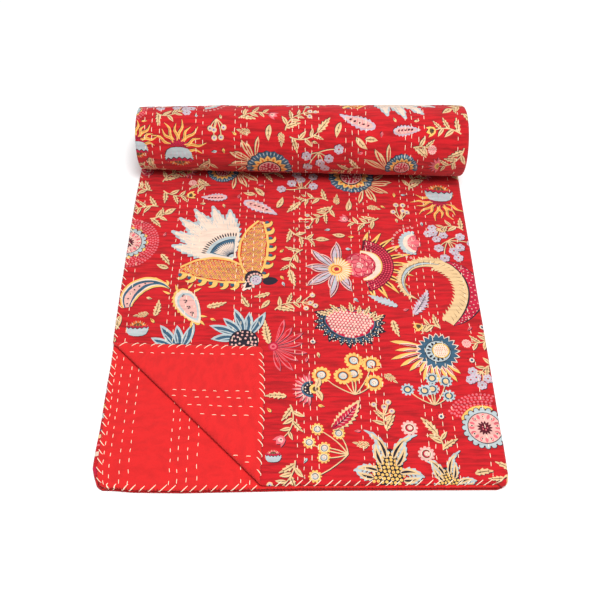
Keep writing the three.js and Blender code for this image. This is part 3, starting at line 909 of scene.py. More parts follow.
def path_sides(path, widths):
    """Directions to the left of a path, and half of the widths that are spread along it."""
    step = np.gradient(path, axis=0)
    left = np.stack([-step[:, 1], step[:, 0]], 1) / np.linalg.norm(step, axis=1)[:, None]
    half = np.interp(np.linspace(0, 1, len(path)), np.linspace(0, 1, len(widths)), widths)[:, None] / 2
    return left, half


def ribbon(path, widths, colour):
    """A band along a path. Its widths are spread along the path's length."""
    left, half = path_sides(path, widths)
    return (np.concatenate([path + left * half, (path - left * half)[::-1]]), colour)


def arch(length, bend, steps):
    """A path that sets out along +X from the origin and bends evenly."""
    share = np.linspace(0, 1, steps + 1)
    return bent(np.stack([length * share, 0 * share], 1), bend, length)


def stroke(end, start=0.0):
    """A short tapering line along +X."""
    return np.array([[start, 0.5], [start, -0.5], [end, 0]])


def petal(length, width, colour, degrees, full, sharp, start=0.0, bend=0.0, steps=9):
    outline = bent(petal_outline(length, width, full, sharp, steps, start), bend, length)
    return (turn(outline, degrees), colour)


def petals(count, first, last, length, width, colour, full, sharp, start=0.0, steps=7):
    """Petals that spread from one heading to another."""
    return [petal(length, width, colour, angle, full, sharp, start, 0, steps)
            for angle in np.linspace(first, last, count)]


def veins(length, shares, reach, angle, bend, colour):
    """Short side veins of a leaf, in pairs at shares of its length."""
    patches = []
    for share in shares:
        for side in (1, -1):
            line = turn(stroke(reach), side * angle) + (length * share, 0)
            patches.append((bent(line, bend, length), colour))
    return patches


def leaf(length, width, bend):
    """A pointed leaf with a midrib and, if it is long, short side veins."""
    patches = [(bent(petal_outline(length, width, 0.42, 0.9), bend, length), "cream"),
               (bent(petal_outline(length * 0.86, 1.0, 0.3, 0.6, 5), bend, length), "olive")]
    if length > 20:
        patches += veins(length, (0.34, 0.6), width * 0.45, 40, bend, "olive")
    return patches


def spiky_leaf(length, width, bend, colour="cream", vein="olive"):
    """A leaf with toothed sides, as holly or thistle has."""
    teeth = max(4, int(length / 6))
    patches = [(bent(toothed_outline(length, width, teeth, 0.45), bend, length), colour),
               (bent(petal_outline(length * 0.9, 1.2, 0.3, 0.6, 6), bend, length), vein)]
    shares = np.linspace(0.24, 0.7, max(2, teeth - 2))
    return patches + veins(length, shares, width * 0.34, 48, bend, vein)


def small_sprig():
    """A short stalk with three pairs of leaflets and one at its tip."""
    patches = [(np.array([[-0.7, 0], [0.7, 0], [0, 18]]), "cream")]
    for rise, length in ((1, 9), (6, 8.5), (11, 7)):
        patches += moved(leaf(length, 3.8, 14), 0, rise, 42)
        patches += moved(leaf(length, 3.8, -14), 0, rise + 1.5, 138)
    return moved(patches + moved(leaf(10, 4.2, 6), 0, 15, 86), 0, -10)


def daisy(radius, count=13, rim="yellow", inner="ink", eye="sky", heart="ink", gap="orange"):
    """A round flower with a scalloped rim, a dark ring and a pale eye."""
    patches = [disc(0.86, rim, steps=16)] + dotted_arc(0.88, 0, 360 - 360 / count, count, 0.2, rim, 7)
    patches += rings((0.66, gap, 14), (0.56, inner, 14), (0.46, eye, 12))
    patches += [disc(0.32, "pale", 0.05, 0.04, 10)] + dotted_arc(0.16, 0, 300, 6, 0.045, heart)
    return moved(patches, scale=radius)


def ring_berry(radius):
    """A round berry with a beaded rim and a pale eye."""
    patches = dotted_arc(0.9, 0, 324, 10, 0.2, "sky")
    patches += rings((0.85, "sky", 12), (0.66, "teal", 12), (0.42, "cream", 9))
    return moved(patches, scale=radius)


def berry(radius):
    """A plain berry with a dark dot."""
    return moved(rings((1, "cream", 10), (0.62, "lilac", 9)) + [disc(0.22, "ink", 0.1, 0, 6)], scale=radius)


def carnation(radius):
    """A half-open carnation: blue scallops, yellow flames and a dotted pink heart."""
    patches = petals(11, -190, 10, 0.42, 0.4, "teal", 0.62, 0.6, 0.6)
    patches += petals(21, -190, 10, 0.2, 0.05, "sky", 0.6, 0.8, 0.78, 5)
    for a in np.linspace(-184, 4, 9):
        patches += [petal(0.46, 0.26, "yellow", a, 0.5, 0.9, 0.34, 0, 7),
                    petal(0.24, 0.1, "orange", a, 0.5, 0.9, 0.45, 0, 5)]
    patches += rings((0.53, "ink", 18), (0.47, "blush", 18), (0.42, "rose", 16))
    for ring, count in ((0.36, 13), (0.25, 9), (0.13, 5)):
        patches += dotted_arc(ring, 0, 340, count, 0.05, "blush")
    return moved(patches, scale=radius)


def finger_spray(count, length, first, last):
    """Long narrow petals, outlined in cream, that open like a hand."""
    patches = []
    for number, a in enumerate(np.linspace(first, last, count)):
        reach = length * (1 - 0.14 * (number % 2))
        bend = 12 if number % 2 else -10
        patches += [petal(reach, 7.4, "cream", a, 0.72, 0.7, 0, bend),
                    petal(reach * 0.8, 2.8, "base", a, 0.72, 0.7, reach * 0.12, bend)]
    return patches


def tulip(body, tip):
    """A small bell along +X with three points and a mouth in another colour."""
    outline = np.array([[0, 0], [4, 2], [6.5, 7], [7, 13], [3.6, 10], [0, 14],
                        [-3.6, 10], [-7, 13], [-6.5, 7], [-4, 2]])
    mouth = np.array([[0, 2.5], [3, 4.5], [3.8, 8], [0, 9.5], [-3.8, 8], [-3, 4.5]])
    return moved([(outline, body), (mouth, tip), disc(1.1, "ink", 0, 5.6, 6)], 0, 0, -90, 1.2)


def star_flower():
    """Half a star of pink petals, open along +X."""
    patches = petals(7, 10, 170, 15, 3.8, "pink", 0.5, 0.9)
    patches += [sector(0.01, 6, 0, 180, "yellow", 8)] + petals(5, 30, 150, 5, 1.0, "ink", 0.6, 0.8)
    return moved(patches, 0, 0, -90, 1.2)


def lilac_flower(radius):
    """A small flower of six round petals with a dotted heart."""
    first = np.degrees(0.3)
    patches = dotted_arc(0.55, first, first + 300, 6, 0.42, "lilac", 8)
    patches += rings((0.4, "sky", 8), (0.2, "rose", 7)) + dotted_arc(0.6, 0, 300, 6, 0.07, "maroon")
    return moved(patches, scale=radius)


def paisley_leaf(length, width, bend):
    """A pale pink pod with a row of dark seeds and a ruffled edge."""
    edge = toothed_outline(length, width, 8, 0.26, 0.36, 0.1)
    inner = petal_outline(length * 0.8, width * 0.56, 0.38, 0.7, 12, length * 0.05)
    patches = [(bent(edge, bend, length), "lilac"), (bent(inner, bend, length), "blush")]
    for share in (0.16, 0.28, 0.4, 0.52, 0.64):
        seed = turn(petal_outline(5.4, 3.4, 0.5, 0.6, 6), 40) + (length * share, -1)
        patches += [(bent(seed, bend, length), "maroon")]
    return patches + veins(length, (0.2, 0.34, 0.48, 0.62), width * 0.4, 62, bend, "pink")


# Spikes of the flaming drop: shares of its length and width at which they stand, and their headings.
DROP_SPIKES = ((0.05, 0.3, 130), (0.03, -0.1, 180), (0.05, -0.4, 225), (0.16, 0.46, 95), (0.9, 0.1, 10),
               (0.84, -0.14, -40), (0.8, 0.18, 50))


def flame_paisley(length, width, bend):
    """A drop with a flaming yellow edge, a pink field and ink marks."""
    patches = []
    for place, side, heading in DROP_SPIKES:
        spike = turn(petal_outline(14, 4.2, 0.35, 0.9, 6), heading) + (length * place, width * side)
        patches += [(bent(spike, bend, length), "yellow")]
    teeth = toothed_outline(length, width, 11, 0.16, 0.34, 0.25)
    patches += [(bent(teeth, bend, length), "yellow")]
    for shrink, colour in ((0.84, "pale"), (0.7, "sky"), (0.56, "blush")):
        start = length * 0.5 * (0.9 - shrink)
        field = petal_outline(length * (shrink + 0.1), width * shrink, 0.36, 0.7, 14, start)
        patches += [(bent(field + (0, width * 0.05), bend, length), colour)]
    for number, place in enumerate(np.linspace(0.2, 0.72, 7)):
        mark = petal_outline(6.6, 3.0, 0.5, 0.6, 6)
        mark = turn(mark, 60 if number % 2 else 120) + (length * place, -1.6)
        patches += [(bent(mark, bend, length), "ink"),
                    (bent(mark * 0.4 + mark.mean(0) * 0.6, bend, length), "blush")]
    return patches


def medallion(radius, halo, first=0, last=360):
    """A round flower in rings: a lace of pink dots, pale scallops, a pink field and a dark heart."""
    patches = []
    for number, ring in enumerate(np.arange(halo, radius * 1.2, -4.2)):
        count = int(np.radians(last - first) * ring / 5.2)
        shift = 90 / ring * (number % 2)
        patches += dotted_arc(ring, first + shift, last + shift, count, 2.0, "pink")
    patches += petals(14, first, last, 6, 9, "yellow", 0.4, 0.8, radius * 1.04, 9)
    patches += dotted_arc(radius, 0, 342, 20, 4.6, "ink", 8) + dotted_arc(radius, 0, 342, 20, 3.6, "sky", 8)
    heart = rings((0.97, "sky", 24), (0.86, "ink", 24), (0.82, "blush", 24))
    heart += petals(16, 0, 337, 0.3, 0.16, "pink", 0.5, 0.8, 0.5)
    heart += dotted_arc(0.64, 10, 330, 9, 0.075, "pale") + dotted_arc(0.64, 10, 330, 9, 0.045, "ink")
    heart += petals(13, 0, 332, 0.4, 0.12, "maroon", 0.6, 0.8)
    heart += [disc(0.22, "maroon", steps=10)] + dotted_arc(0.12, 0, 288, 5, 0.04, "pink")
    return patches + moved(heart, scale=radius)


def hooks(path, count, length, side, crook):
    """Curled yellow hooks along one side of a path, with a crook in another colour inside each."""
    patches = []
    for at in np.linspace(2, len(path) - 4, count).astype(int):
        step = path[at + 1] - path[at - 1]
        heading = np.degrees(np.arctan2(step[1], step[0]))
        hook = bent(petal_outline(length, length * 0.38, 0.3, 0.8), 150 * side, length)
        shape = [(hook, "yellow"), disc(length * 0.15, crook, length * 0.04, side * length * 0.36, 8)]
        patches += moved(shape, *path[at], heading + side * 42)
    return patches


# Widths along a spotted wing, and the distances between its rows of spots and between the spots of a row.
WING_WIDTHS = np.array([6, 32, 44, 44, 32, 6])
SPOT_ROWS = 4.3
SPOT_STEP = 5.2


def spotted_wing(points, side):
    """A wing of the great flower: a yellow band full of ringed spots, with hooks on its outer side."""
    path = smooth(points, 8)
    left, half = path_sides(path, WING_WIDTHS)
    patches = hooks(path + side * left * half, 7, 22, side, "teal")
    patches += [ribbon(path, WING_WIDTHS + 7.0, "yellow"), ribbon(path, WING_WIDTHS - 1, "brick")]
    index = np.arange(len(path))
    travel = np.concatenate([[0], np.cumsum(np.linalg.norm(np.diff(path, axis=0), axis=1))])
    for row in range(-6, 7):
        start = 2 + SPOT_STEP / 2 * (row % 2)
        for number, along in enumerate(np.arange(start, travel[-1] - 2, SPOT_STEP)):
            a = np.interp(along, travel, index)
            if abs(row * SPOT_ROWS) > np.interp(a, index, half[:, 0]) - 1.5:
                continue
            x, y = (np.interp(a, index, path[:, k] + row * SPOT_ROWS * left[:, k]) for k in (0, 1))
            if (number + row) % 3:
                patches += [disc(2.35, "yellow", x, y, 6), disc(1.0, "maroon", x, y, 5)]
            else:
                patches += [disc(2.1, "cream", x, y, 6), disc(1.3, "rose", x, y, 5)]
    return patches


def great_flower():
    """The largest flower: feathered pale petals, a blue fan, two spotted wings and a dark calyx."""
    shares, headings = np.linspace(0.1, 0.9, 6), np.linspace(162, 92, 6)
    tips = [(angle, 98 + 34 * np.sin(np.pi * share)) for share, angle in zip(shares, headings)]
    crown = [(turn(toothed_outline(reach, 35, 10, 0.3, 0.55, 0.36), angle), "sky") for angle, reach in tips]
    crown += [sector(10, 84, 92, 162, "pale", 12)]
    for angle, reach in tips:
        crown += [(turn(toothed_outline(reach - 7, 28, 9, 0.3, 0.52, 0.36), angle), "pale")]
        for shift, start in ((-5, 0.62), (-2, 0.7), (2, 0.66), (5, 0.58)):
            crown += [(turn(stroke(reach * (start + 0.2), reach * start), angle + shift), "sky")]
    fan = petals(17, 84, 164, 10, 2.6, "ink", 0.5, 0.8, 46, 5)
    fan += [sector(8, 47, 84, 164, "sky", 14), sector(8, 41, 86, 161, "ink", 14),
            sector(8, 40, 87, 160, "teal", 14)]
    fan += petals(12, 91, 156, 26, 2.8, "pale", 0.75, 0.7, 10, 5)
    fan += [sector(3, 12, 86, 161, "ink", 8), sector(3, 9, 90, 156, "sky", 8)]
    patches = moved(crown + fan, -34, 46)
    for heading, bend, side in ((150, 34, -1), (98, -30, 1)):
        patches += spotted_wing(turn(arch(126, bend, 5), heading)[::-1], side)
    patches += [(turn(toothed_outline(30, 22, 4, 0.4), 225), "pale"),
                (turn(petal_outline(24, 13, 0.4), 225), "ink"), disc(15, "ink", -2, 4, 14)]
    patches += dotted_arc(11.5, 20, 250, 10, 2.3, "blush")
    patches += rings((9.5, "sky", 11), (7.5, "lilac", 10), x=1, y=-1) + dotted_arc(4, 0, 290, 5, 1.0, "ink")
    return patches + moved([(petal_outline(26, 16, 0.45, 0.6), "ink")], 11, -5)


def pomegranate():
    """A sunburst with lilac petals, a rosy fruit and a dark crest of scales with yellow flames."""
    patches = []
    for share, angle in zip(np.linspace(0, 1, 11), np.linspace(84, -66, 11)):
        reach = 18 + 14 * np.sin(np.pi * share)
        flame = [petal(reach + 12, 8.4, "yellow", 0, 0.3, 0.9, -8, -16, 7),
                 petal(reach * 0.8, 3.6, "maroon", 0, 0.35, 0.9, -6, -16, 5)]
        patches += moved(flame, *spot(55, angle), angle)
    patches += [sector(32, 56, 88, -70, "maroon", 22)]
    for number, radius in enumerate(np.arange(35.5, 55, 4.3)):
        for angle in np.arange(82 - 2 * (number % 2), -66, -250 / radius):
            x, y = spot(radius, angle)
            patches += [disc(2.3, "rose", x, y, 6), disc(1.0, "pink", x, y, 4)]
    rim = arc(30, 92, -74, 20)
    patches += [ribbon(rim, [5, 14, 15, 5], "yellow"), ribbon(rim, [3, 10, 11, 3], "pale")]
    patches += rings((26.5, "rose", 20), (25, "pink", 20))
    for ring, count, size, shift in ((17.5, 9, 8, 0), (9.5, 6, 7, 20), (2.5, 3, 5, 0)):
        colour = "blush" if size < 6 else "pink"
        for place in arc(ring, shift, shift + 360 * (1 - 1 / count), count):
            patches += [disc(size, "rose", *place, 11), disc(size * 0.84, colour, *(place * 0.94), 10)]
    star = []
    for number, angle in enumerate(np.linspace(86, 316, 12)):
        reach, bend = 60 - 8 * (number % 3), 18 * (-1) ** number
        star += [petal(reach, 12.5, "blush", angle, 0.6, 0.85, 0, bend),
                 petal(reach - 3, 9.4, "maroon", angle, 0.6, 0.85, 0, bend),
                 petal(reach - 7, 6.6, "lilac", angle, 0.6, 0.85, 2, bend),
                 petal(reach - 24, 2.4, "sky", angle, 0.5, 0.8, 12, bend, 5)]
    star += petals(15, -80, 100, 27, 4.6, "yellow", 0.72, 0.8)
    star += petals(15, -80, 100, 25, 2.4, "pale", 0.78, 0.8)
    star += petals(8, 120, 260, 15, 4.6, "yellow", 0.7, 0.8)
    star += rings((9.5, "orange", 14), (7.6, "yellow", 12), (4.6, "rose", 10), (1.8, "maroon", 6))
    return patches + moved(star, -37, -13)


# The grain flower's half width and half height, and its swellings: heading, spread and size.
GRAIN_SIZE = (42, 31)
SWELLINGS = ((90, 20, -0.3), (48, 26, 0.1), (140, 26, 0.12), (270, 34, 0.1), (185, 20, 0.06))
# Pale dots on each tooth of its border.
TOOTH_DOTS = ((1.5, 4.0), (2.5, -4.2), (5.5, 3.6), (6.8, -3.0), (10, 2.0), (13, -0.2))


def grain_flower():
    """A broad heart-shaped flower full of pink grains with a checked, toothed border."""
    wide, high = GRAIN_SIZE
    angle = np.linspace(0, 2 * np.pi, 40, endpoint=False)
    swelling = 1.02
    for middle, reach, size in SWELLINGS:
        swelling = swelling + size * np.exp(-((np.degrees(angle) - middle) / reach) ** 2)
    field = np.stack([wide * np.cos(angle), high * np.sin(angle)], 1) * swelling[:, None]
    closed = np.concatenate([field, field[:1]])
    patches = []
    for number, at in enumerate(np.linspace(18, 42, 19)):
        x, y = (np.interp(at % 40, np.arange(41), closed[:, k]) for k in (0, 1))
        heading = np.degrees(np.arctan2(y * 1.6, x)) + (10, -8, 3)[number % 3]
        reach = (24, 17, 21)[number % 3]
        tooth = [petal(reach, 13, "ink", 0, 0.32, 0.9, -4, 14, 7),
                 petal(reach * 0.66, 5.0, "teal", 0, 0.36, 0.9, -4, 14, 5)]
        tooth += [disc(1.15, "pale", *dot, 5) for dot in TOOTH_DOTS]
        patches += moved(tooth, x * 0.96, y * 0.96, heading)
    patches += [(field * 0.99, "ink"), (field * 0.94, "teal"), (field * 0.89, "rose")]
    for row, y in enumerate(np.arange(-28, 28, 5.0)):
        for x in np.arange(-38 + 2.8 * (row % 2), 38, 5.6):
            around = np.degrees(np.arctan2(y / high, x / wide)) % 360
            if np.hypot(x / wide, y / high) > np.interp(around, np.degrees(angle), swelling) * 0.9 - 0.07:
                continue
            grain = turn(petal_outline(5.8, 4.8, 0.5, 0.6, 5) - (2.9, 0), 80 + 0.75 * x) + (x, y)
            patches += [(grain, "blush"), (grain * 0.5 + grain.mean(0) * 0.5 + (0, 0.8), "pale")]
    for number, a in enumerate(np.linspace(22, 158, 9)):
        x, y = 38 * np.cos(np.radians(a)), 17 * np.sin(np.radians(a)) + 3
        patches += moved(spiky_leaf(21 - 5 * (number % 2), 10, 20, "cream", "ink"), x, y, a + 6)
    return patches


# How far each barb of the great feather leans from its quill.
BARB_LEAN = 58


def feather_hook():
    """A great curled feather: pale barbs on a dark quill, a crimson band outside and a blue inner vane."""
    share = np.linspace(0, 1, 67)
    heading = np.radians(48 + 285 * share ** 1.5)
    step = np.stack([np.cos(heading), np.sin(heading)], 1)
    side = np.stack([-step[:, 1], step[:, 0]], 1)
    path = np.cumsum(step, axis=0) * 4.3
    half = (9.5 * np.minimum(1, 2.4 * (1 - share)) ** 0.7)[:, None]
    outer, inner = path - side * half, path + side * half
    band = side * (23 * np.sin(np.pi * np.clip(share / 0.5, 0, 1)) ** 0.8)[:, None]
    patches = [(np.concatenate([outer[:34], (outer - band)[33::-1]]), "rose")]
    for row in (0.2, 0.45, 0.7, 0.92):
        dots = range(3 + int(4 * row) % 2, 31, 2)
        patches += [disc(1.3, "blush", *(outer[at] - band[at] * row), 5) for at in dots]
    patches += [ribbon((outer - band)[:33], [1, 2.2, 2.2, 1.4, 0.6], "ink")]
    degrees = np.degrees(heading)
    for at in range(64):
        reach = 14 if at % 2 else 9
        for edge, first, last, share, lean in (
            (inner, 0, 36, 1, BARB_LEAN), (outer, 34, 64, 0.7, -BARB_LEAN),
        ):
            if first <= at < last:
                barb = petal_outline(reach * share, 5.2, 0.3, 0.9, 5, -3)
                patches += [(turn(barb, degrees[at] + lean) + edge[at], "cream")]
    patches += [(np.concatenate([outer, inner[::-1]]), "cream")]
    for at in range(2, 60, 2):
        line = turn(stroke(1.3 * half[at, 0]), degrees[at] + 62)
        patches += [(line + outer[at] * 0.7 + inner[at] * 0.3, "olive")]
    vane = path[34:64] + side[34:64] * 1.5
    patches += [ribbon(outer[:34], [1, 2.8, 2.6, 1.2], "ink"), ribbon(vane, [1, 5.4, 7, 4.4, 1], "ink")]
    return patches + [ribbon(vane, [0.6, 3.4, 5, 2.8, 0.6], "sky")]


def sun_flower():
    """A blue-ringed flower with a seeded heart, a dotted disc and trailing yellow flames."""
    patches = []
    for number, a in enumerate(np.linspace(156, 296, 12)):
        reach = (70 if a < 200 else 54) - 9 * (number % 2)
        patches += [petal(reach, 7.4, "yellow", a, 0.66, 0.85, 6, 18),
                    petal(reach * 0.74, 4.2, "pale", a, 0.68, 0.8, 10, 18),
                    petal(reach * 0.7, 2.2, "rose", a, 0.5, 0.8, 12, 18),
                    petal(reach * 0.4, 1.6, "ink", a, 0.5, 0.8, 18, 18, 5)]
    for start, colour in ((20, "pale"), (17.5, "teal")):
        patches += petals(20, 0, 341, 15, 9, colour, 0.36, 0.9, start, 5)
    patches += rings((24, "teal", 24), (20.6, "ink", 22), (19.4, "sky", 22))
    for a in np.linspace(95, 290, 9):
        patches += moved([petal(7.5, 3.8, "ink", 0, 0.6, 0.7, 0, 0, 6)], *spot(10.5, a), a)
    x, y = 4.6, 1.5
    patches += rings((14.4, "ink", 20), (13.4, "yellow", 20), (11.6, "pale", 18), x=x, y=y)
    for row, up in enumerate(np.arange(-9, 10, 3.0)):
        half = np.sqrt(max(0, 10.4 ** 2 - up * up))
        places = np.arange(-half + 1.2 + 1.5 * (row % 2), half, 3.0)
        patches += [disc(0.85, "orange", x + aside, y + up, 5) for aside in places]
    return patches


def feather_flower(first, last, count):
    """Half a flower with long blue petals edged in white over a dark dotted heart."""
    patches = []
    for number, angle in enumerate(np.linspace(first, last, count)):
        reach = 56 - 9 * (number % 2)
        patches += [petal(reach, 15, "sky", angle, 0.5, 0.85, 4, 16),
                    petal(reach * 0.86, 9, "teal", angle, 0.5, 0.85, 5, 16),
                    petal(reach * 0.55, 2.4, "sky", angle, 0.5, 0.8, 14, 16, 5)]
    patches += [disc(23, "ink", 0, -6, 18)]
    for ring, dots in ((7, 6), (13, 11), (18.5, 15)):
        patches += moved(dotted_arc(ring, 0, 340, dots, 1.9, "blush"), 0, -6)
    return patches


def spider_flower():
    """Narrow outlined petals around a small cone."""
    patches = []
    for number, angle in enumerate(np.linspace(64, -84, 8)):
        reach = 50 - 7 * (number % 2)
        patches += [petal(reach, 8.4, "pink", angle, 0.62, 0.8, 3, 14),
                    petal(reach * 0.86, 5.8, "base", angle, 0.62, 0.8, 5, 14),
                    petal(reach * 0.6, 1.4, "pink", angle, 0.5, 0.8, 8, 14, 5)]
    patches += moved(spiky_leaf(44, 15, -18), -6, 6, 108)
    return patches + rings((8, "rose", 11), (5.4, "pink", 9), (2.6, "rose", 7))


def crimson_feather():
    """A long leaf with a crimson field and pale toothed edges."""
    length, bend = 62, 28
    patches = [(toothed_outline(length, 27, 9, 0.3, 0.42, 0.25), "cream"),
               (toothed_outline(55, 18, 9, 0.25, 0.42, 0.25), "rose"),
               (petal_outline(52, 1.6, 0.3, 0.6, 8), "ink")]
    for share in np.linspace(0.15, 0.7, 7):
        for side in (1, -1):
            line = turn(petal_outline(7, 1.1, 0.4, 0.7, 4), side * 45)
            patches += [(line + (length * share, 0), "blush")]
    return [(bent(points, bend, length), colour) for points, colour in patches]


def pine_cluster():
    """A heap of yellow seeds between pale, curling, toothed leaves."""
    patches = [(turn(toothed_outline(54, 46, 5, 0.16, 0.3), 90) - (0, 14), "ink")]
    for row, y in enumerate(np.arange(-9, 36, 5.2)):
        half = 20 * np.sqrt(max(0.03, 1 - ((y + 2) / 38) ** 2))
        for number, x in enumerate(np.arange(-half + (2.9 if row % 2 else 0.6), half, 5.6)):
            patches += [disc(2.3, "yellow", x, y + 0.9 * (number % 2), 7)]
            if number % 3 == 1:
                patches += [disc(0.9, "orange", x, y + 0.9 * (number % 2), 5)]
    for side in (1, -1):
        for number, length in enumerate((52, 38, 34, 28)):
            bend = side * (46 if number % 2 else -64)
            blade = []
            for grow, colour in ((1.0, "sky"), (0.8, "cream")):
                blade += [(toothed_outline(length * grow, 13.5 * grow, 5, 0.34, 0.36, 0.3), colour)]
            blade += [(petal_outline(length * 0.62, 3.4, 0.3), "ink")]
            blade = [(bent(points, bend, length), colour) for points, colour in blade]
            patches += moved(blade, side * (5 + 5 * number), 26 - 10 * number, 90 - side * (8 + 28 * number))
    return patches


def thistle():
    """A pink tuft over a scaly cup."""
    patches = petals(11, 95, 265, 24, 4, "pink", 0.62, 0.7, 4)
    patches += petals(9, 105, 255, 19, 2, "blush", 0.62, 0.7, 5)
    patches += [sector(0.01, 14, 75, 285, "teal", 12), sector(0.01, 11, 75, 285, "ink", 12)]
    patches += dotted_arc(8, 90, 270, 6, 1.3, "pale")
    patches += [disc(8, "yellow", 6, 0, 11), disc(4.4, "olive", 7, 0, 9)]
    return patches + moved(leaf(20, 9, 30), 8, 2, 60) + moved(leaf(20, 9, -30), 8, -2, -50)


def horn():
    """A blue and yellow horn with a flaming edge."""
    path = turn(arch(104, -150, 30), 105)
    patches = hooks(path, 7, 15, 1, "yellow")
    patches += [ribbon(path, [16, 30, 33, 27, 16, 2], "yellow"),
                ribbon(path, [12, 24, 27, 20, 9, 1], "pale"),
                ribbon(path, [10, 20, 22, 14, 6, 1], "teal"),
                ribbon(path[:22], [6, 13, 12, 6, 2], "blush")]
    return patches + [disc(1.7, "ink", *path[at], 6) for at in range(2, 20, 3)]


def half_fan():
    """Half a ruffled shell with a pink heart and a string of beads round it."""
    shell = (21, 24)
    patches = [disc(3.0, "sky", *bead, 7) for bead in arc(1, 84, 276, 13) * shell]
    half = arc(1, 80, 280, 15) * shell
    patches += [(half, "sky"), (half * 0.84 + (2, 0), "pale"), (half * (0.62, 0.72) + (5, 0), "pink")]
    patches += [disc(10, "pink", 4, -1, 12)] + petals(9, 60, 300, 9, 1.6, "blush", 0.5, 0.8, 2, 9)
    return patches + dotted_arc(33, 86, 262, 15, 2.3, "blush") + dotted_arc(33, 86, 262, 15, 1.0, "base")


def dot_flower():
    """A small round flower in a ring of dots."""
    patches = rings((3.4, "pale", 9), (1.9, "teal", 7)) + dotted_arc(5.4, 0, 315, 8, 0.8, "maroon")
    return moved(patches, scale=1.2)


# Half of the cup's zigzag rim from its middle out, and its bowl from right to left.
CUP_RIM = ((3, 4.8), (6, 2.6), (9, 5.6), (12, 3.6), (15, 7))
CUP_BOWL = ((14.6, 0), (12.4, -5), (8, -7.8), (2, -8.6), (-4, -8.3), (-10, -6.6), (-13.8, -2))


def cup_bud(size, crown="orange"):
    """A striped cup with a zigzag rim under a small hatched dome."""
    patches = petals(9, 4, 176, 14.5, 4.6, crown, 0.5, 0.9, 2)
    patches += petals(8, 14, 166, 12.5, 2.6, "cream", 0.5, 0.9, 4)
    patches += [disc(8.6, crown, 0, 5, 12), disc(6.8, "olive", 0, 6, 11)]
    patches += petals(6, 30, 150, 6, 0.9, crown, 0.5, 0.8, 6)
    cup = np.array([(-x, y) for x, y in CUP_RIM[::-1]] + [(0, 2), *CUP_RIM, *CUP_BOWL])
    patches += [disc(2.7, "rose", x, 5.4 + 0.1 * abs(x), 7) for x in range(-12, 13, 4)]
    patches += [(cup + (0, 1.0), "ink"), (cup - (0, 0.3), "sky")]
    for x in (-9, -4.5, 0, 4.5, 9):
        patches += [(np.array([[x - 0.5, 1.4], [x + 0.5, 1.4], [x * 0.8, -6.4]]), "lilac")]
    return moved(patches, scale=size)


def bead_bud(radius):
    """A round bud with a toothed rim and a field of dots."""
    patches = dotted_arc(0.86, 0, 330, 12, 0.24, "blush") + [disc(0.86, "blush")]
    patches += dotted_arc(0.6, 0, 320, 8, 0.13, "pink") + dotted_arc(0.28, 0, 320, 4, 0.13, "pink")
    return moved(patches, scale=radius)


def flames(count, first, last, reach):
    """Waving flames over crimson petals, long and short in turn."""
    patches = []
    for number, angle in enumerate(np.linspace(first, last, count)):
        long, sway = (reach, 2.4) if number % 2 else (reach * 0.84, -2.4)
        patches += [petal(long * 0.5, 4.4, "ink", angle + 5, 0.6, 0.8, 2),
                    petal(long * 0.48, 3.2, "rose", angle + 6, 0.6, 0.8, 2)]
        places = [(long * 0.34, 0), (long * 0.58, sway), (long * 0.86, -sway * 0.6), (long * 1.2, sway)]
        path = smooth(places, 3)
        flame = [ribbon(path, [1.4, 4.8, 4.2, 0.8], "yellow"),
                 ribbon(path + (0, 0.6), [0.4, 1.4, 1.0, 0.3], "orange")]
        patches += moved(flame, 0, 0, angle)
    return patches


def bunch(motif, count, reach, first, last):
    """Flowers or berries on bent stalks that spread from one root, near and far in turn."""
    stalks, heads = [], []
    for number, angle in enumerate(np.linspace(first, last, count)):
        stalk = arch(reach * (1.0 if number % 2 else 0.6), 30 if 2 * angle < first + last else -30, 5)
        path = turn(stalk, angle)
        stalks.append(ribbon(path, [1.9, 1.4], "cream"))
        heads += moved(motif, *path[-1])
    return stalks + heads


def spray(length, bend, leaves, toothed, tip):
    """A bent stem with leaves on both sides in turn, some of them toothed, and a motif at its tip."""
    steps = 10
    path = arch(length, bend, steps)
    patches = [ribbon(path, [2.2, 1.8, 1.3], "cream")]
    for number, share in enumerate(np.linspace(0.1, 0.85, leaves)):
        side = 1 if number % 2 else -1
        size = 22 - 8 * share
        shape = leaf(size, size * 0.36, 16 * side)
        if number % toothed == 0:
            shape = spiky_leaf(size * 1.25, size * 0.5, 16 * side)
        patches += moved(shape, *path[int(round(steps * share))], bend * share + side * 46)
    return patches + moved(tip, *path[-1], bend)


def rose_bud(radius):
    """A crimson flower with pink petals."""
    patches = rings((1, "pink", 12), (0.9, "rose", 12))
    patches += petals(5, 20, 308, 0.7, 0.34, "pink", 0.6, 0.7, 0.12) + [disc(0.16, "pale", steps=6)]
    return moved(patches, scale=radius)


def cup_flower(size):
    """A flower with flames over a low cup."""
    return flames(10, 168, 332, 36 * size) + moved(cup_bud(1.4 * size), 0, 12 * size)


# Side of the small squares in which room on the ground is counted, and how far the print reaches.
SQUARE = 4.0
PRINT_SIZE = (572, 606)
# The corner that the turned-back cloth covers, where no sprays are strewn.
COVERED = 228
# Shares of the way from a patch's middle to its outline, and just past it, at which its room is counted.
BODY_SHARES = np.array([0.2, 0.4, 0.6, 0.8, 1.0, 1.16])[:, None, None]
# How many chance places are tried for sprays, short sprays, single leaves and flowers, and loose petals.
TRIES = (9000, 5000, 900, 300)


def body(patches):
    """Points spread over patches and just past their outlines."""
    return np.concatenate([(p.mean(0) + (p - p.mean(0)) * BODY_SHARES).reshape(-1, 2) for p, _ in patches])


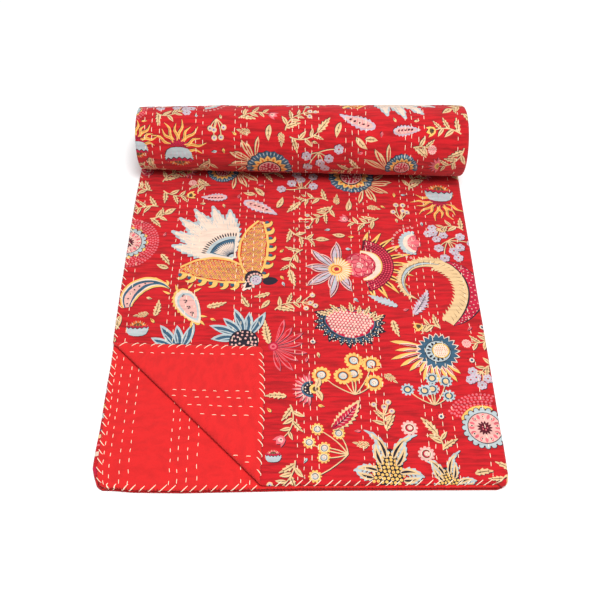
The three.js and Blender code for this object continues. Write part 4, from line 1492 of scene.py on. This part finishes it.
class Ground:
    """Room that is left on the ground of the print."""

    def __init__(self, low, high):
        self.low = np.array(low, float)
        self.span = np.array(high) - self.low
        self.full = np.zeros((self.span / SQUARE).astype(int) + 1, bool)

    def squares(self, points):
        index = ((points - self.low) / SQUARE).astype(int)
        return index[((points > self.low) & (index < self.full.shape)).all(1)].T

    def take(self, points):
        self.full[tuple(self.squares(points))] = True

    def strew(self, shapes, tries, random):
        """Sets shapes down in turn at chance places and headings, each where it covers nothing yet."""
        patches, number = [], 0
        bodies = [body(shape) for shape in shapes]
        middles = [(points.min(0) + points.max(0)) / 2 for points in bodies]
        for x, y, heading in random.uniform((0, 0, 0), (*self.span, 360), (tries, 3)):
            place = self.low + (x, y)
            kind = number % len(shapes)
            points = turn(bodies[kind] - middles[kind], heading) + place
            if not self.full[tuple(self.squares(points))].any():
                self.take(points)
                patches += outlined(moved(moved(shapes[kind], *-middles[kind]), *place, heading))
                number += 1
        return patches


def strewn(large, low, high, seed, covered=0):
    """Sprays, then single leaves and flowers, then petals, wherever the large motifs leave room."""
    ground = Ground(low, high)
    ground.take(body(large))
    ground.full[:int(covered / SQUARE), :int(covered / SQUARE)] = True
    random = np.random.default_rng(seed)
    tips = (
        tulip("yellow", "olive"), bunch(berry(4.6), 4, 22, -66, 66), spiky_leaf(34, 14, 10),
        star_flower(), bunch(lilac_flower(8), 5, 24, -75, 75), moved(bead_bud(7), 7), leaf(24, 10, -12),
        tulip("pink", "blush"),
    )
    sprays = [spray(44 + 4 * (n % 4), (-1) ** n * (50 + 11 * (n % 5)), 5 + n % 2, 2 + n % 3, tip)
              for n, tip in enumerate(tips)]
    short = [spray(26, 40 * (-1) ** n, 4, 3, tip) for n, tip in enumerate(tips[:3] + tips[5:])]
    single = [small_sprig(), spiky_leaf(32, 13, 20), leaf(28, 10, 24), dot_flower(),
              spiky_leaf(26, 11, -20), leaf(22, 9, -20)]
    loose = [[petal(10, 4.6, name, 0, 0.62, 0.8), petal(6, 1.2, "olive", 0, 0.5, 0.8, 1, 0, 5)]
             for name in ("yellow", "cream", "pink", "sky")]
    patches = []
    for shapes, tries in zip((sprays, short, single, loose), TRIES):
        patches += ground.strew(shapes, tries, random)
    return patches


def quilt_print():
    """The patches of the print over the top layer, from the lowest to the topmost."""
    small_daisy = daisy(9, 10, "yellow", "olive", "sky", "ink", "pale")
    blush_daisy = daisy(11.5, 11, "blush", "olive", "rose", "maroon", "pale")
    large = []
    for patches, *place in (
        (medallion(27, 50), 0, 430),
        (feather_flower(60, 165, 5), 100, 215),
        (feather_flower(48, 172, 6), 200, 240),
        (horn(), 15, 300, 0, 0.95),
        (flame_paisley(78, 42, 14), 95, 335, -70),
        (great_flower(), 215, 355, 4),
        (pomegranate(), 385, 385, -6),
        (grain_flower(), 365, 270, -8, 0.96),
        (feather_hook(), 515, 265, 0, 0.96),
        (sun_flower(), 495, 215, 0, 0.98),
        (bunch(daisy(13.5), 6, 60, 20, 160), 365, 140),
        (bunch(small_daisy, 6, 58, 95, 230), 350, 45),
        (crimson_feather(), 330, 85, 35),
        (pine_cluster(), 405, 12, -6, 1.05),
        (pine_cluster(), 490, -6, 12, 0.8),
        (spider_flower(), 245, 225),
        (finger_spray(8, 50, -96, 26), 400, 575),
        (finger_spray(5, 52, -86, -30), 170, 606),
        (carnation(28), 148, 600),
        (carnation(40), 378, 592),
        (rose_bud(11), 12, 595),
        (bunch(lilac_flower(9), 6, 36, 0, 200), 290, 560),
        (bunch(lilac_flower(9), 7, 40, -150, 40), 535, 440),
        (paisley_leaf(46, 20, -10), 160, 535, 185),
        (paisley_leaf(66, 26, -14), 190, 525, -20),
        (cup_flower(1.15), 530, 535, -4),
        (half_fan(), 475, 435),
        (bunch(berry(5), 5, 34, 40, 140), 460, 490),
        (thistle(), 300, 150),
        (bunch(ring_berry(9.5), 6, 46, 20, 160), 480, 122),
        (blush_daisy, 440, 85),
        (blush_daisy, 460, 45),
        (cup_bud(1.15), 35, 255),
        (cup_bud(0.75, "pink"), 245, 40),
        (medallion(29, 55, 70, 150), 548, 85),
        (spiky_leaf(56, 21, 24, "lilac", "ink"), 465, 285, 50),
        (spiky_leaf(50, 16, 6, "sky", "lilac"), 440, 300, 150),
    ):
        large += outlined(moved(patches, *place))
    return strewn(large, (0, 0), PRINT_SIZE, 11, COVERED) + large


# The angle round the roll from which the print is measured up its front, the place on the top layer whose
# print comes to lie there at the roll's left end, and about which place and by how many degrees it is turned.
ROLL_LOW = 300
ROLL_PRINT = (606, 604)
ROLL_MIDDLE = (378, 560)
ROLL_TURN = 4.5
# How far up the roll's front the print is laid.
ROLL_REACH = 310
# Least and greatest place of the print that shows only at the roll's left end, placed as on the top layer.
ROLL_END = ((580, 300), (650, 606))
# How often in a metre the finest wrinkles come, across and along the printed and the plain cloth, and how
# strong they are on each: how deep they bump and how much painted shade darkens the cloth's colour in them.
FINE_WRINKLES = {"printed_cotton": (26.0, 190.0, 1.0), "plain_cotton": (55.0, 95.0, 1.0)}
WRINKLE_DEPTH_AND_SHADE = {"printed_cotton": 0.62, "plain_cotton": 0.2}
# Settings of the main shaders, and of the noise and waves that make wrinkles with their painted shade, and
# weave.
COTTON = {"Roughness": 0.86, "Specular IOR Level": 0.22, "Sheen Weight": 0.08, "Sheen Roughness": 0.6}
THREAD = {"Roughness": 0.75, "Specular IOR Level": 0.3, "Sheen Weight": 0.15}
FLOOR = {"Roughness": 0.9, "Specular IOR Level": 0.1}
WRINKLE_NOISE = {"Scale": 1.0, "Detail": 3.0, "Distortion": 0.5}
WEAVE_WAVE = {"Scale": 340.0, "Distortion": 1.2, "Detail Scale": 0.6}
# Depth of the bumps of the weave and of the wrinkles, in metres.
WEAVE_BUMP = 0.0004
WRINKLE_BUMP = 0.0022


def to_linear(value):
    """Screen colours as light amounts."""
    value = np.asarray(value, float)
    return np.where(value <= 0.04045, value / 12.92, ((value + 0.055) / 1.055) ** 2.4)


def roll_end():
    """The part of the print that shows only at the roll's left end, placed as on the top layer."""
    large = outlined(moved(cup_flower(0.9), 602, 520)) + outlined(moved(medallion(20, 34), 615, 450))
    return strewn(large, *ROLL_END, 12) + large


def roll_patches(fold, sewing, patches):
    """The print where it comes round again on the outside of the roll, placed on the flat cloth."""
    low = fold.along_at(math.radians(ROLL_LOW))
    shrink = 1 - fold.stack / 2 / fold.roll
    across = sewing.roll_across(0) - ROLL_PRINT[0]
    again = []
    for points, name in patches + roll_end():
        points = turn(points - ROLL_MIDDLE, ROLL_TURN) + ROLL_MIDDLE
        if points[:, 1].max() > ROLL_PRINT[1] - ROLL_REACH:
            along = low - shrink * (ROLL_PRINT[1] - points[:, 1])
            again.append((np.stack([points[:, 0] + across, along], 1), name))
    return again


# Where print shows on the folded left edge of the lower layers, its colours and the sizes of its specks.
FOLD_PRINT = (19, 215)
FOLD_COLOURS = ("rose", "pale", "pink", "cream", "teal", "sky", "yellow", "lilac")
SPECK = (3, 16)


def fold_patches(fold):
    """The print that shows on the folded left edge of the lower layers."""
    low, high = (fold.marks[3] + fold.marks[4]) / 2 - 2, fold.marks[4] + 9
    random = np.random.default_rng(5)
    patches = []
    start = FOLD_PRINT[0]
    while start < FOLD_PRINT[1]:
        end = start + random.uniform(*SPECK)
        lean = 0.3 * (end - start)
        name = FOLD_COLOURS[len(patches) % len(FOLD_COLOURS)]
        corners = [(low, start), (high, start + lean), (high, end), (low, end - lean)]
        patches.append((np.array(corners), name))
        start = end + random.uniform(*SPECK)
    return patches


def cut_cloth(fold):
    """Flat points and lines of the cut edge and the folds, as on both cloths."""
    flat = Flat()
    flat.line(outline(fold, stations(fold, 6.0, 6.0)), closed=True)
    lay_lines(flat, fold, stations(fold, 12.0, 6.5))
    return flat


def face_points(fold, sewing, dye):
    """Flat points and lines of the printed face."""
    m = fold.marks
    flat = cut_cloth(fold)
    drawn, lines = dye.borders()
    first = flat.add(drawn)[0]
    flat.lines += [(first + a, first + b) for a, b in lines]
    top = staggered(4.5, m[1] - 4, 4.5, fold.laid - 20, *TOP_GRID)
    roll = staggered(m[2] + 4, m[3] - 4, fold.laid - 6, sewing.front + 6, *ROLL_GRID)
    visible = off_corner(fold, np.concatenate([top, roll]))
    covered = (visible < fold.leg - 6).all(1)
    flat.add(clear_of(visible[~covered], drawn, BORDER_ROOM))
    flat.add(staggered(12, fold.leg - 8, 12, fold.leg - 8, 14, 14))
    flat.add(corner_lines(fold))
    flat.add(edge_points(fold))
    hidden = hidden_points(fold, stations(fold, 32.0, 7.0))
    across, along = hidden.T
    on_top = (across < m[1]) & (along < fold.laid - 15)
    on_roll = (across > m[2]) & (across < m[3]) & (along > fold.laid - 10) & (along < sewing.front + 8)
    flat.add(hidden[~(on_top | on_roll)])
    return flat


def back_points(fold):
    """Flat points and lines of the plain back."""
    m = fold.marks
    flat = cut_cloth(fold)
    flap = staggered(4.5, fold.leg, 4.5, fold.leg, *PLAIN_GRID)
    flat.add(flap[flap.sum(1) < fold.leg - CORNER_BAND[1] * math.sqrt(2)])
    flat.add(corner_lines(fold))
    low = staggered(4.5, fold.leg + 10, 4.5, fold.leg + 10, *PLAIN_GRID)
    low = low[low.sum(1) < fold.leg + 12]
    flat.add(pairs(m[7] - low[:, 0], low[:, 1]))
    flat.add(edge_points(fold))
    hidden = hidden_points(fold, stations(fold, 32.0, 7.0))
    shown = (hidden.sum(1) < fold.leg + 20) | (m[7] - hidden[:, 0] + hidden[:, 1] < fold.leg + 20)
    flat.add(hidden[~shown])
    return flat


def cloth_maps(piece, flat_places, outer_count, charts):
    """Gives a cloth its flat map in metres and a packed map with most room for what shows.

    A chart says whether it is of the outer side, its lowest and highest flat place, where it lies on the
    map, its scale and, if it is turned there, True.
    """
    mesh = piece.data
    corners = np.empty(len(mesh.loops), np.int32)
    mesh.loops.foreach_get("vertex_index", corners)
    flat = flat_places[corners].reshape(-1, 3, 2)
    weave = mesh.uv_layers.new(name="Cloth")
    weave.data.foreach_set("uv", (flat * MM).astype(np.float32).ravel())
    packed = mesh.uv_layers.new(name="OFBake")
    middle = flat.mean(1)
    outer = np.arange(len(middle)) < outer_count
    uv = np.zeros_like(flat)
    for on_outer, low, high, at, scale, *turned in charts:
        pick = (outer == on_outer) & (middle >= low).all(1) & (middle < high).all(1)
        local = flat[pick] - low
        if turned:
            local = np.stack([high[1] - low[1] - local[..., 1], local[..., 0]], -1)
        uv[pick] = np.array(at) + local * scale
    packed.data.foreach_set("uv", uv.astype(np.float32).ravel())
    mesh.uv_layers.active = packed
    packed.active_render = True


def tune(node, settings):
    """Sets inputs of a shader node."""
    for name, value in settings.items():
        node.inputs[name].default_value = value
    return node


def new_material(name, settings):
    """A material whose main shader has some inputs set."""
    material = bpy.data.materials.new(name)
    material.use_nodes = True
    tune(material.node_tree.nodes["Principled BSDF"], settings)
    return material


def cotton(name, base, weave_depth, from_print):
    """Matte cotton, plain or coloured by the print, with a fine weave, fine wrinkles and painted shade in
    them.
    """
    depth = WRINKLE_DEPTH_AND_SHADE[name]
    material = new_material(name, COTTON)
    nodes, link = material.node_tree.nodes, material.node_tree.links.new
    shader = nodes["Principled BSDF"]
    places = nodes.new("ShaderNodeUVMap")
    places.uv_map = "Cloth"
    stretch = nodes.new("ShaderNodeVectorMath")
    stretch.operation = "MULTIPLY"
    stretch.inputs[1].default_value = FINE_WRINKLES[name]
    link(places.outputs["UV"], stretch.inputs[0])
    wrinkles = tune(nodes.new("ShaderNodeTexNoise"), WRINKLE_NOISE)
    link(stretch.outputs["Vector"], wrinkles.inputs["Vector"])
    # Painted shade: the wrinkle noise is mapped to a factor below one that darkens the cloth's colour in the
    # wrinkles.
    wrinkle_shade = nodes.new("ShaderNodeMapRange")
    tune(wrinkle_shade, {"From Min": 0.34, "From Max": 0.58})
    tune(wrinkle_shade, {"To Min": 0.96 - 0.64 * depth, "To Max": 0.96 - 0.03 * depth})
    link(wrinkles.outputs["Fac"], wrinkle_shade.inputs["Value"])
    shaded_colour = nodes.new("ShaderNodeVectorMath")
    shaded_colour.operation = "SCALE"
    if from_print:
        dye = nodes.new("ShaderNodeVertexColor")
        dye.layer_name = "Print"
        link(dye.outputs["Color"], shaded_colour.inputs[0])
        green = nodes.new("ShaderNodeSeparateColor")
        link(dye.outputs["Color"], green.inputs["Color"])
        # On the print the painted wrinkle shade fades with the green of each colour, so pale colours get a
        # steady factor of 0.84 instead.
        shade_by_colour = tune(nodes.new("ShaderNodeMix"), {"B": 0.84})
        link(green.outputs["Green"], shade_by_colour.inputs["Factor"])
        link(wrinkle_shade.outputs["Result"], shade_by_colour.inputs["A"])
        link(shade_by_colour.outputs["Result"], shaded_colour.inputs["Scale"])
    else:
        shaded_colour.inputs[0].default_value = tuple(to_linear(base))
        # The plain colour, darkened by the painted wrinkle shade.
        link(wrinkle_shade.outputs["Result"], shaded_colour.inputs["Scale"])
    link(shaded_colour.outputs["Vector"], shader.inputs["Base Color"])
    weave = nodes.new("ShaderNodeMath")
    weave.operation = "ADD"
    for number, direction in enumerate(("X", "Y")):
        thread = tune(nodes.new("ShaderNodeTexWave"), WEAVE_WAVE)
        thread.bands_direction = direction
        link(places.outputs["UV"], thread.inputs["Vector"])
        link(thread.outputs["Fac"], weave.inputs[number])
    bump = tune(nodes.new("ShaderNodeBump"), {"Strength": weave_depth, "Distance": WEAVE_BUMP})
    link(weave.outputs["Value"], bump.inputs["Height"])
    creased = tune(nodes.new("ShaderNodeBump"), {"Strength": 0.8, "Distance": WRINKLE_BUMP * depth})
    link(wrinkles.outputs["Fac"], creased.inputs["Height"])
    link(creased.outputs["Normal"], bump.inputs["Normal"])
    link(bump.outputs["Normal"], shader.inputs["Normal"])
    return material


def thread_material(base):
    """Soft cream sewing thread."""
    return new_material("stitch_thread", {"Base Color": (*to_linear(base), 1), **THREAD})


# Corners round a thread, the share of its width at its two ends, and the shape of a running stitch: shares
# of its length, their heights over the cloth, how its length and slant differ, and its thickness.
THREAD_SIDES = 6
THREAD_END = 0.7
STITCH_SHARES = np.array([0.0, 0.1, 0.3, 0.5, 0.7, 0.9, 1.0])
STITCH_LIFT = np.array([-0.9, -0.05, 0.3, 0.36, 0.3, -0.05, -0.9])
STITCH_LENGTHS = (0.82, 1.15)
STITCH_SLANT = 0.4
STITCH_HEIGHT = 0.62
# Shape of a whipped stitch: how far in from the edge its first points lie, the shares of its depth at which
# the others lie, how far each slides along the edge and rises, how its size and place differ, and its
# thickness.
WHIP_START = (2.2, 0.9, -0.45, -0.45, 0.9)
WHIP_SHARES = (0.55, 0.85, 1.0)
WHIP_SLIDE = np.array([-4.4, -3.8, -2.6, -1.4, 0.6, 4.4, 6.6, 7.6])
WHIP_RISE = np.array([-1.9, -1.75, -0.9, 0.7, 0.55, 0.42, 0.3, -0.9])
WHIP_SIZES = (0.8, 1.15)
WHIP_PLACES = (-0.16, 0.16)
WHIP_HEIGHT = 0.7


def thread_mesh(name, fold, strands, width, height):
    """Closed strands of thread, each given by its points across, along and over the middle of the layer."""
    shape, faces, count, sides = [], [], 0, THREAD_SIDES
    angle = np.linspace(0, 2 * np.pi, sides, endpoint=False)
    for strand in strands:
        step = np.gradient(strand[:, :2], axis=0)
        aside = pairs(-step[:, 1], step[:, 0])
        aside = aside / np.maximum(np.linalg.norm(aside, axis=1)[:, None], 1e-6)
        loops = strand[1:-1]
        taper = np.array([THREAD_END] + [1.0] * (len(loops) - 2) + [THREAD_END])[:, None]
        ring_across = loops[:, :1] + aside[1:-1, :1] * taper * np.cos(angle) * width / 2
        ring_along = loops[:, 1:2] + aside[1:-1, 1:] * taper * np.cos(angle) * width / 2
        ring_height = loops[:, 2:] + taper * np.sin(angle) * height / 2
        around = np.stack([ring_across, ring_along, ring_height], -1).reshape(-1, 3)
        shape += [strand[:1], around, strand[-1:]]
        last = count + len(around) + 1
        for k in range(sides):
            n = (k + 1) % sides
            faces.append((count, count + 1 + n, count + 1 + k))
            faces.append((last, last - sides + k, last - sides + n))
            for ring in range(len(loops) - 1):
                a = count + 1 + ring * sides
                faces.append((a + k, a + n, a + sides + n))
                faces.append((a + k, a + sides + n, a + sides + k))
        count = last + 1
    return new_mesh(name, fold.place(*np.concatenate(shape).T), np.array(faces))


# Millimetres of cloth that the packed map of each cloth is wide.
PRINTED_MAP = 1045
PLAIN_MAP = 560


def quilt_fold(context):
    """The fold and sewing of the quilt with the scene's sizes, set where the CAD part lies."""
    fold = Fold(context.scene.quilt_sizes)
    low, high = (np.array(corner) / MM for corner in CAD_BOX)
    fold.centre_on(low, high)
    return fold, Sewing(fold, context.scene.quilt_threads)


class QUILT_OT_printed_cloth(bpy.types.Operator):
    """Adds the printed face cloth, folded and rolled, with its floral print"""

    bl_idname = "quilt.printed_cloth"
    bl_label = "Printed cloth"

    def execute(self, context):
        fold, sewing = quilt_fold(context)
        colours = context.scene.quilt_colours
        patches = quilt_print()
        dye = Dye(patches + roll_patches(fold, sewing, patches) + fold_patches(fold))
        flat = face_points(fold, sewing, dye)
        shape, places, faces, outer_count = joined_cloth(fold, 1, flat, sewing.face_height)
        piece = new_mesh("printed_cloth", shape, faces)
        table = np.array([(*to_linear(getattr(colours, name)), 1.0) for name in dye.names])
        pick = np.full(len(faces), dye.base)
        pick[:outer_count] = dye.colour_at(places[faces[:outer_count]].mean(1))
        printed = piece.data.color_attributes.new("Print", "FLOAT_COLOR", "CORNER")
        printed.data.foreach_set("color", np.repeat(table[pick], 3, 0).astype(np.float32).ravel())
        left, right, laid, front = fold.marks[2], fold.marks[3] + 4, fold.laid - 8, sewing.front + 8
        k = 1 / PRINTED_MAP
        end = (fold.across + 1, fold.along + 1)
        charts = (
            (True, (0, -1), (left, laid), (0.005, 0.38), k),
            (True, (left, laid), (right, front), (0.575, 0.38), k * 0.96, True),
            (True, (0, laid), (left, end[1]), (0.005, 0.005), k * 0.22),
            (True, (left, -1), (right, laid), (0.14, 0.005), k * 0.34),
            (True, (left, front), (right, end[1]), (0.14, 0.22), k * 0.22),
            (True, (right, -1), end, (0.34, 0.005), k * 0.22),
            (False, (0, -1), end, (0.6, 0.005), k * 0.17),
        )
        cloth_maps(piece, places, outer_count, charts)
        piece.data.materials.append(cotton("printed_cotton", colours.base, 0.35, True))
        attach(piece, "root")
        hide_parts("printed_face")
        return {"FINISHED"}


class QUILT_OT_plain_cloth(bpy.types.Operator):
    """Adds the plain back cloth, which shows at the turned-back corner"""

    bl_idname = "quilt.plain_cloth"
    bl_label = "Plain cloth"

    def execute(self, context):
        fold, sewing = quilt_fold(context)
        flat = back_points(fold)
        shape, places, faces, outer_count = joined_cloth(fold, -1, flat, sewing.back_height)
        piece = new_mesh("plain_cloth", shape, faces)
        corner = fold.leg + 10
        second = fold.marks[7] - fold.leg - 10
        k = 1 / PLAIN_MAP
        end = (fold.across + 1, fold.along + 1)
        charts = (
            (True, (0, -1), (corner, corner), (0.005, 0.55), k),
            (True, (second, -1), (end[0], corner), (0.45, 0.55), k),
            (True, (corner, -1), (second, corner), (0.005, 0.46), k * 0.15),
            (True, (0, corner), end, (0.005, 0.05), k * 0.15),
            (False, (0, -1), end, (0.62, 0.05), k * 0.08),
        )
        cloth_maps(piece, places, outer_count, charts)
        piece.data.materials.append(cotton("plain_cotton", context.scene.quilt_colours.plain, 0.5, False))
        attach(piece, "root")
        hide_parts("plain_back")
        return {"FINISHED"}


class QUILT_OT_running_stitches(bpy.types.Operator):
    """Adds the rows of running stitches on the face, the roll and the turned-back corner"""

    bl_idname = "quilt.running_stitches"
    bl_label = "Running stitches"

    def execute(self, context):
        fold, sewing = quilt_fold(context)
        threads = context.scene.quilt_threads
        random = np.random.default_rng(7)
        strands = []

        def sew(across, along, size, surface, side):
            size = size * random.uniform(*STITCH_LENGTHS)
            u = across + random.normal(0, STITCH_SLANT) * (STITCH_SHARES - 0.5)
            s = along + size * (STITCH_SHARES - 0.5)
            strands.append(np.stack([u, s, surface(u, s) + side * STITCH_LIFT], 1))

        def on_face(across, along):
            sew(across, along, threads.face_stitch / MM, sewing.face_height, 1)

        def on_back(across, along):
            sew(across, along, threads.back_stitch / MM, sewing.back_height, -1)

        for row_across, row_along in sewing.rows[0]:
            for across, along in zip(row_across, row_along):
                covered = across < fold.leg - 8 and along < fold.leg - 8
                if across + along > fold.leg + 8 and not covered:
                    on_face(across, along)
            for across, along in zip(row_across, row_along + sewing.pitch / 2):
                if across + along < fold.leg - 11 * math.sqrt(2):
                    on_back(across, along)
        for row_across, row_along in sewing.rows[6]:
            for across, along in zip(row_across, row_along):
                if fold.marks[7] - across + along < fold.leg - 4:
                    on_back(across, along)
        for row_across, row_along in sewing.rows[2]:
            for across, along in zip(row_across, row_along):
                if fold.laid + 12 < along < sewing.front:
                    on_face(across, along)
        piece = thread_mesh("running_stitches", fold, strands, threads.thread / MM, STITCH_HEIGHT)
        piece.data.materials.append(thread_material(context.scene.quilt_colours.thread))
        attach(piece, "root")
        return {"FINISHED"}


class QUILT_OT_edge_stitches(bpy.types.Operator):
    """Adds the whipped stitches over the cut edges that show"""

    bl_idname = "quilt.edge_stitches"
    bl_label = "Edge stitches"

    def execute(self, context):
        fold, sewing = quilt_fold(context)
        threads = context.scene.quilt_threads
        random = np.random.default_rng(19)
        pitch, depth = threads.edge_pitch / MM, threads.edge_depth / MM
        inset = np.array([*WHIP_START, *(share * depth for share in WHIP_SHARES)])
        free = (WHIP_RISE < -1) | (inset < 0)
        strands = []

        def whip(place, edge, surface, side, lean):
            size = random.uniform(*WHIP_SIZES)
            across, along = edge(np.where(inset > 1, inset * size, inset), place + lean * WHIP_SLIDE * size)
            height = np.where(free, 0, surface(across, along)) + side * WHIP_RISE
            strands.append(np.stack([across, along, height], 1))

        def left(inset, e):
            return inset, e

        def near(inset, e):
            return e, inset

        def second_left(inset, e):
            return fold.marks[7] - inset, e

        def second_near(inset, e):
            return fold.marks[7] - e, inset

        def places(start, end):
            count = int((end - start) / pitch)
            return start + pitch * (np.arange(count) + random.uniform(*WHIP_PLACES, count) + 0.5)

        for e in places(fold.leg + 6, fold.laid - 16):
            whip(e, left, sewing.face_height, 1, -1)
        for e in places(fold.leg + 6, fold.marks[1] - 4):
            whip(e, near, sewing.face_height, 1, 1)
        for e in places(TIP_RADIUS, fold.leg - 16):
            whip(e, left, sewing.back_height, -1, 1)
            whip(e, near, sewing.back_height, -1, -1)
        for e in places(8, fold.leg - 2):
            whip(e, second_left, sewing.back_height, -1, -1)
        for e in places(2, fold.leg - 2):
            whip(e, second_near, sewing.back_height, -1, 1)
        piece = thread_mesh("edge_stitches", fold, strands, threads.edge_thread / MM, WHIP_HEIGHT)
        piece.data.materials.append(thread_material(context.scene.quilt_colours.thread))
        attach(piece, "root")
        return {"FINISHED"}


# The camera's place, how far it looks down, its lens and its sensor's width in millimetres.
CAMERA_PLACE = (0.0008, -0.7991, 1.0408)
CAMERA_PITCH = 53.16
CAMERA_LENS = 48.62
SENSOR_WIDTH = 36.0
# The floor's size and how far it lies below the quilt, the strength of the light from all round, and the
# lamps: name, place, size and power.
FLOOR_SIZE = 8.0
FLOOR_DROP = 0.0003
SKY_STRENGTH = 0.36
LAMPS = (("top light", (0.36, -0.55, 2.2), 1.0, 59.0), ("back light", (-0.7, 0.9, 2.2), 1.2, 12.0))


class QUILT_OT_stage(bpy.types.Operator):
    """Adds the pale floor, the soft lights and the camera"""

    bl_idname = "quilt.stage"
    bl_label = "Stage"

    def execute(self, context):
        scene = context.scene
        bpy.ops.mesh.primitive_plane_add(size=FLOOR_SIZE, location=(0, 0, -FLOOR_DROP))
        floor = context.active_object
        floor.name = "floor"
        shade = (*to_linear(scene.quilt_colours.floor), 1)
        floor.data.materials.append(new_material("pale_floor", {"Base Color": shade, **FLOOR}))
        world = scene.world or bpy.data.worlds.new("studio")
        scene.world = world
        world.use_nodes = True
        tune(world.node_tree.nodes["Background"], {"Color": (1, 1, 1, 1), "Strength": SKY_STRENGTH})
        for name, place, size, power in LAMPS:
            data = bpy.data.lights.new(name, "AREA")
            data.size = size
            data.energy = power
            light = bpy.data.objects.new(name, data)
            light.location = place
            light.rotation_euler = (-Vector(place)).to_track_quat("-Z", "Y").to_euler()
            scene.collection.objects.link(light)
        scene.view_settings.view_transform = "Standard"
        camera_data = bpy.data.cameras.new("camera")
        camera_data.lens = CAMERA_LENS
        camera_data.sensor_width = SENSOR_WIDTH
        camera = bpy.data.objects.new("camera", camera_data)
        camera.location = CAMERA_PLACE
        camera.rotation_euler = (math.radians(90 - CAMERA_PITCH), 0, 0)
        scene.collection.objects.link(camera)
        scene.camera = camera
        return {"FINISHED"}


class QUILT_PT_panel(bpy.types.Panel):
    """Buttons that build the quilt and its stage"""

    bl_label = "Folded quilt"
    bl_idname = "QUILT_PT_panel"
    bl_space_type = "VIEW_3D"
    bl_region_type = "UI"
    bl_category = "Quilt"

    def draw(self, context):
        for group in (context.scene.quilt_sizes, context.scene.quilt_threads, context.scene.quilt_colours):
            box = self.layout.box()
            for name in group.__annotations__:
                box.prop(group, name)
        for operator in OPERATORS:
            self.layout.operator(operator.bl_idname)


OPERATORS = (QUILT_OT_printed_cloth, QUILT_OT_plain_cloth, QUILT_OT_running_stitches, QUILT_OT_edge_stitches,
             QUILT_OT_stage)
CLASSES = (QuiltSizes, ThreadSizes, QuiltColours, *OPERATORS, QUILT_PT_panel)


def register():
    for cls in CLASSES:
        bpy.utils.register_class(cls)
    bpy.types.Scene.quilt_sizes = bpy.props.PointerProperty(type=QuiltSizes)
    bpy.types.Scene.quilt_threads = bpy.props.PointerProperty(type=ThreadSizes)
    bpy.types.Scene.quilt_colours = bpy.props.PointerProperty(type=QuiltColours)


def unregister():
    del bpy.types.Scene.quilt_colours
    del bpy.types.Scene.quilt_threads
    del bpy.types.Scene.quilt_sizes
    for cls in reversed(CLASSES):
        bpy.utils.unregister_class(cls)


def main():
    register()
    bpy.ops.quilt.printed_cloth()
    bpy.ops.quilt.plain_cloth()
    bpy.ops.quilt.running_stitches()
    bpy.ops.quilt.edge_stitches()
    bpy.ops.quilt.stage()


if __name__ == "__main__":
    main()
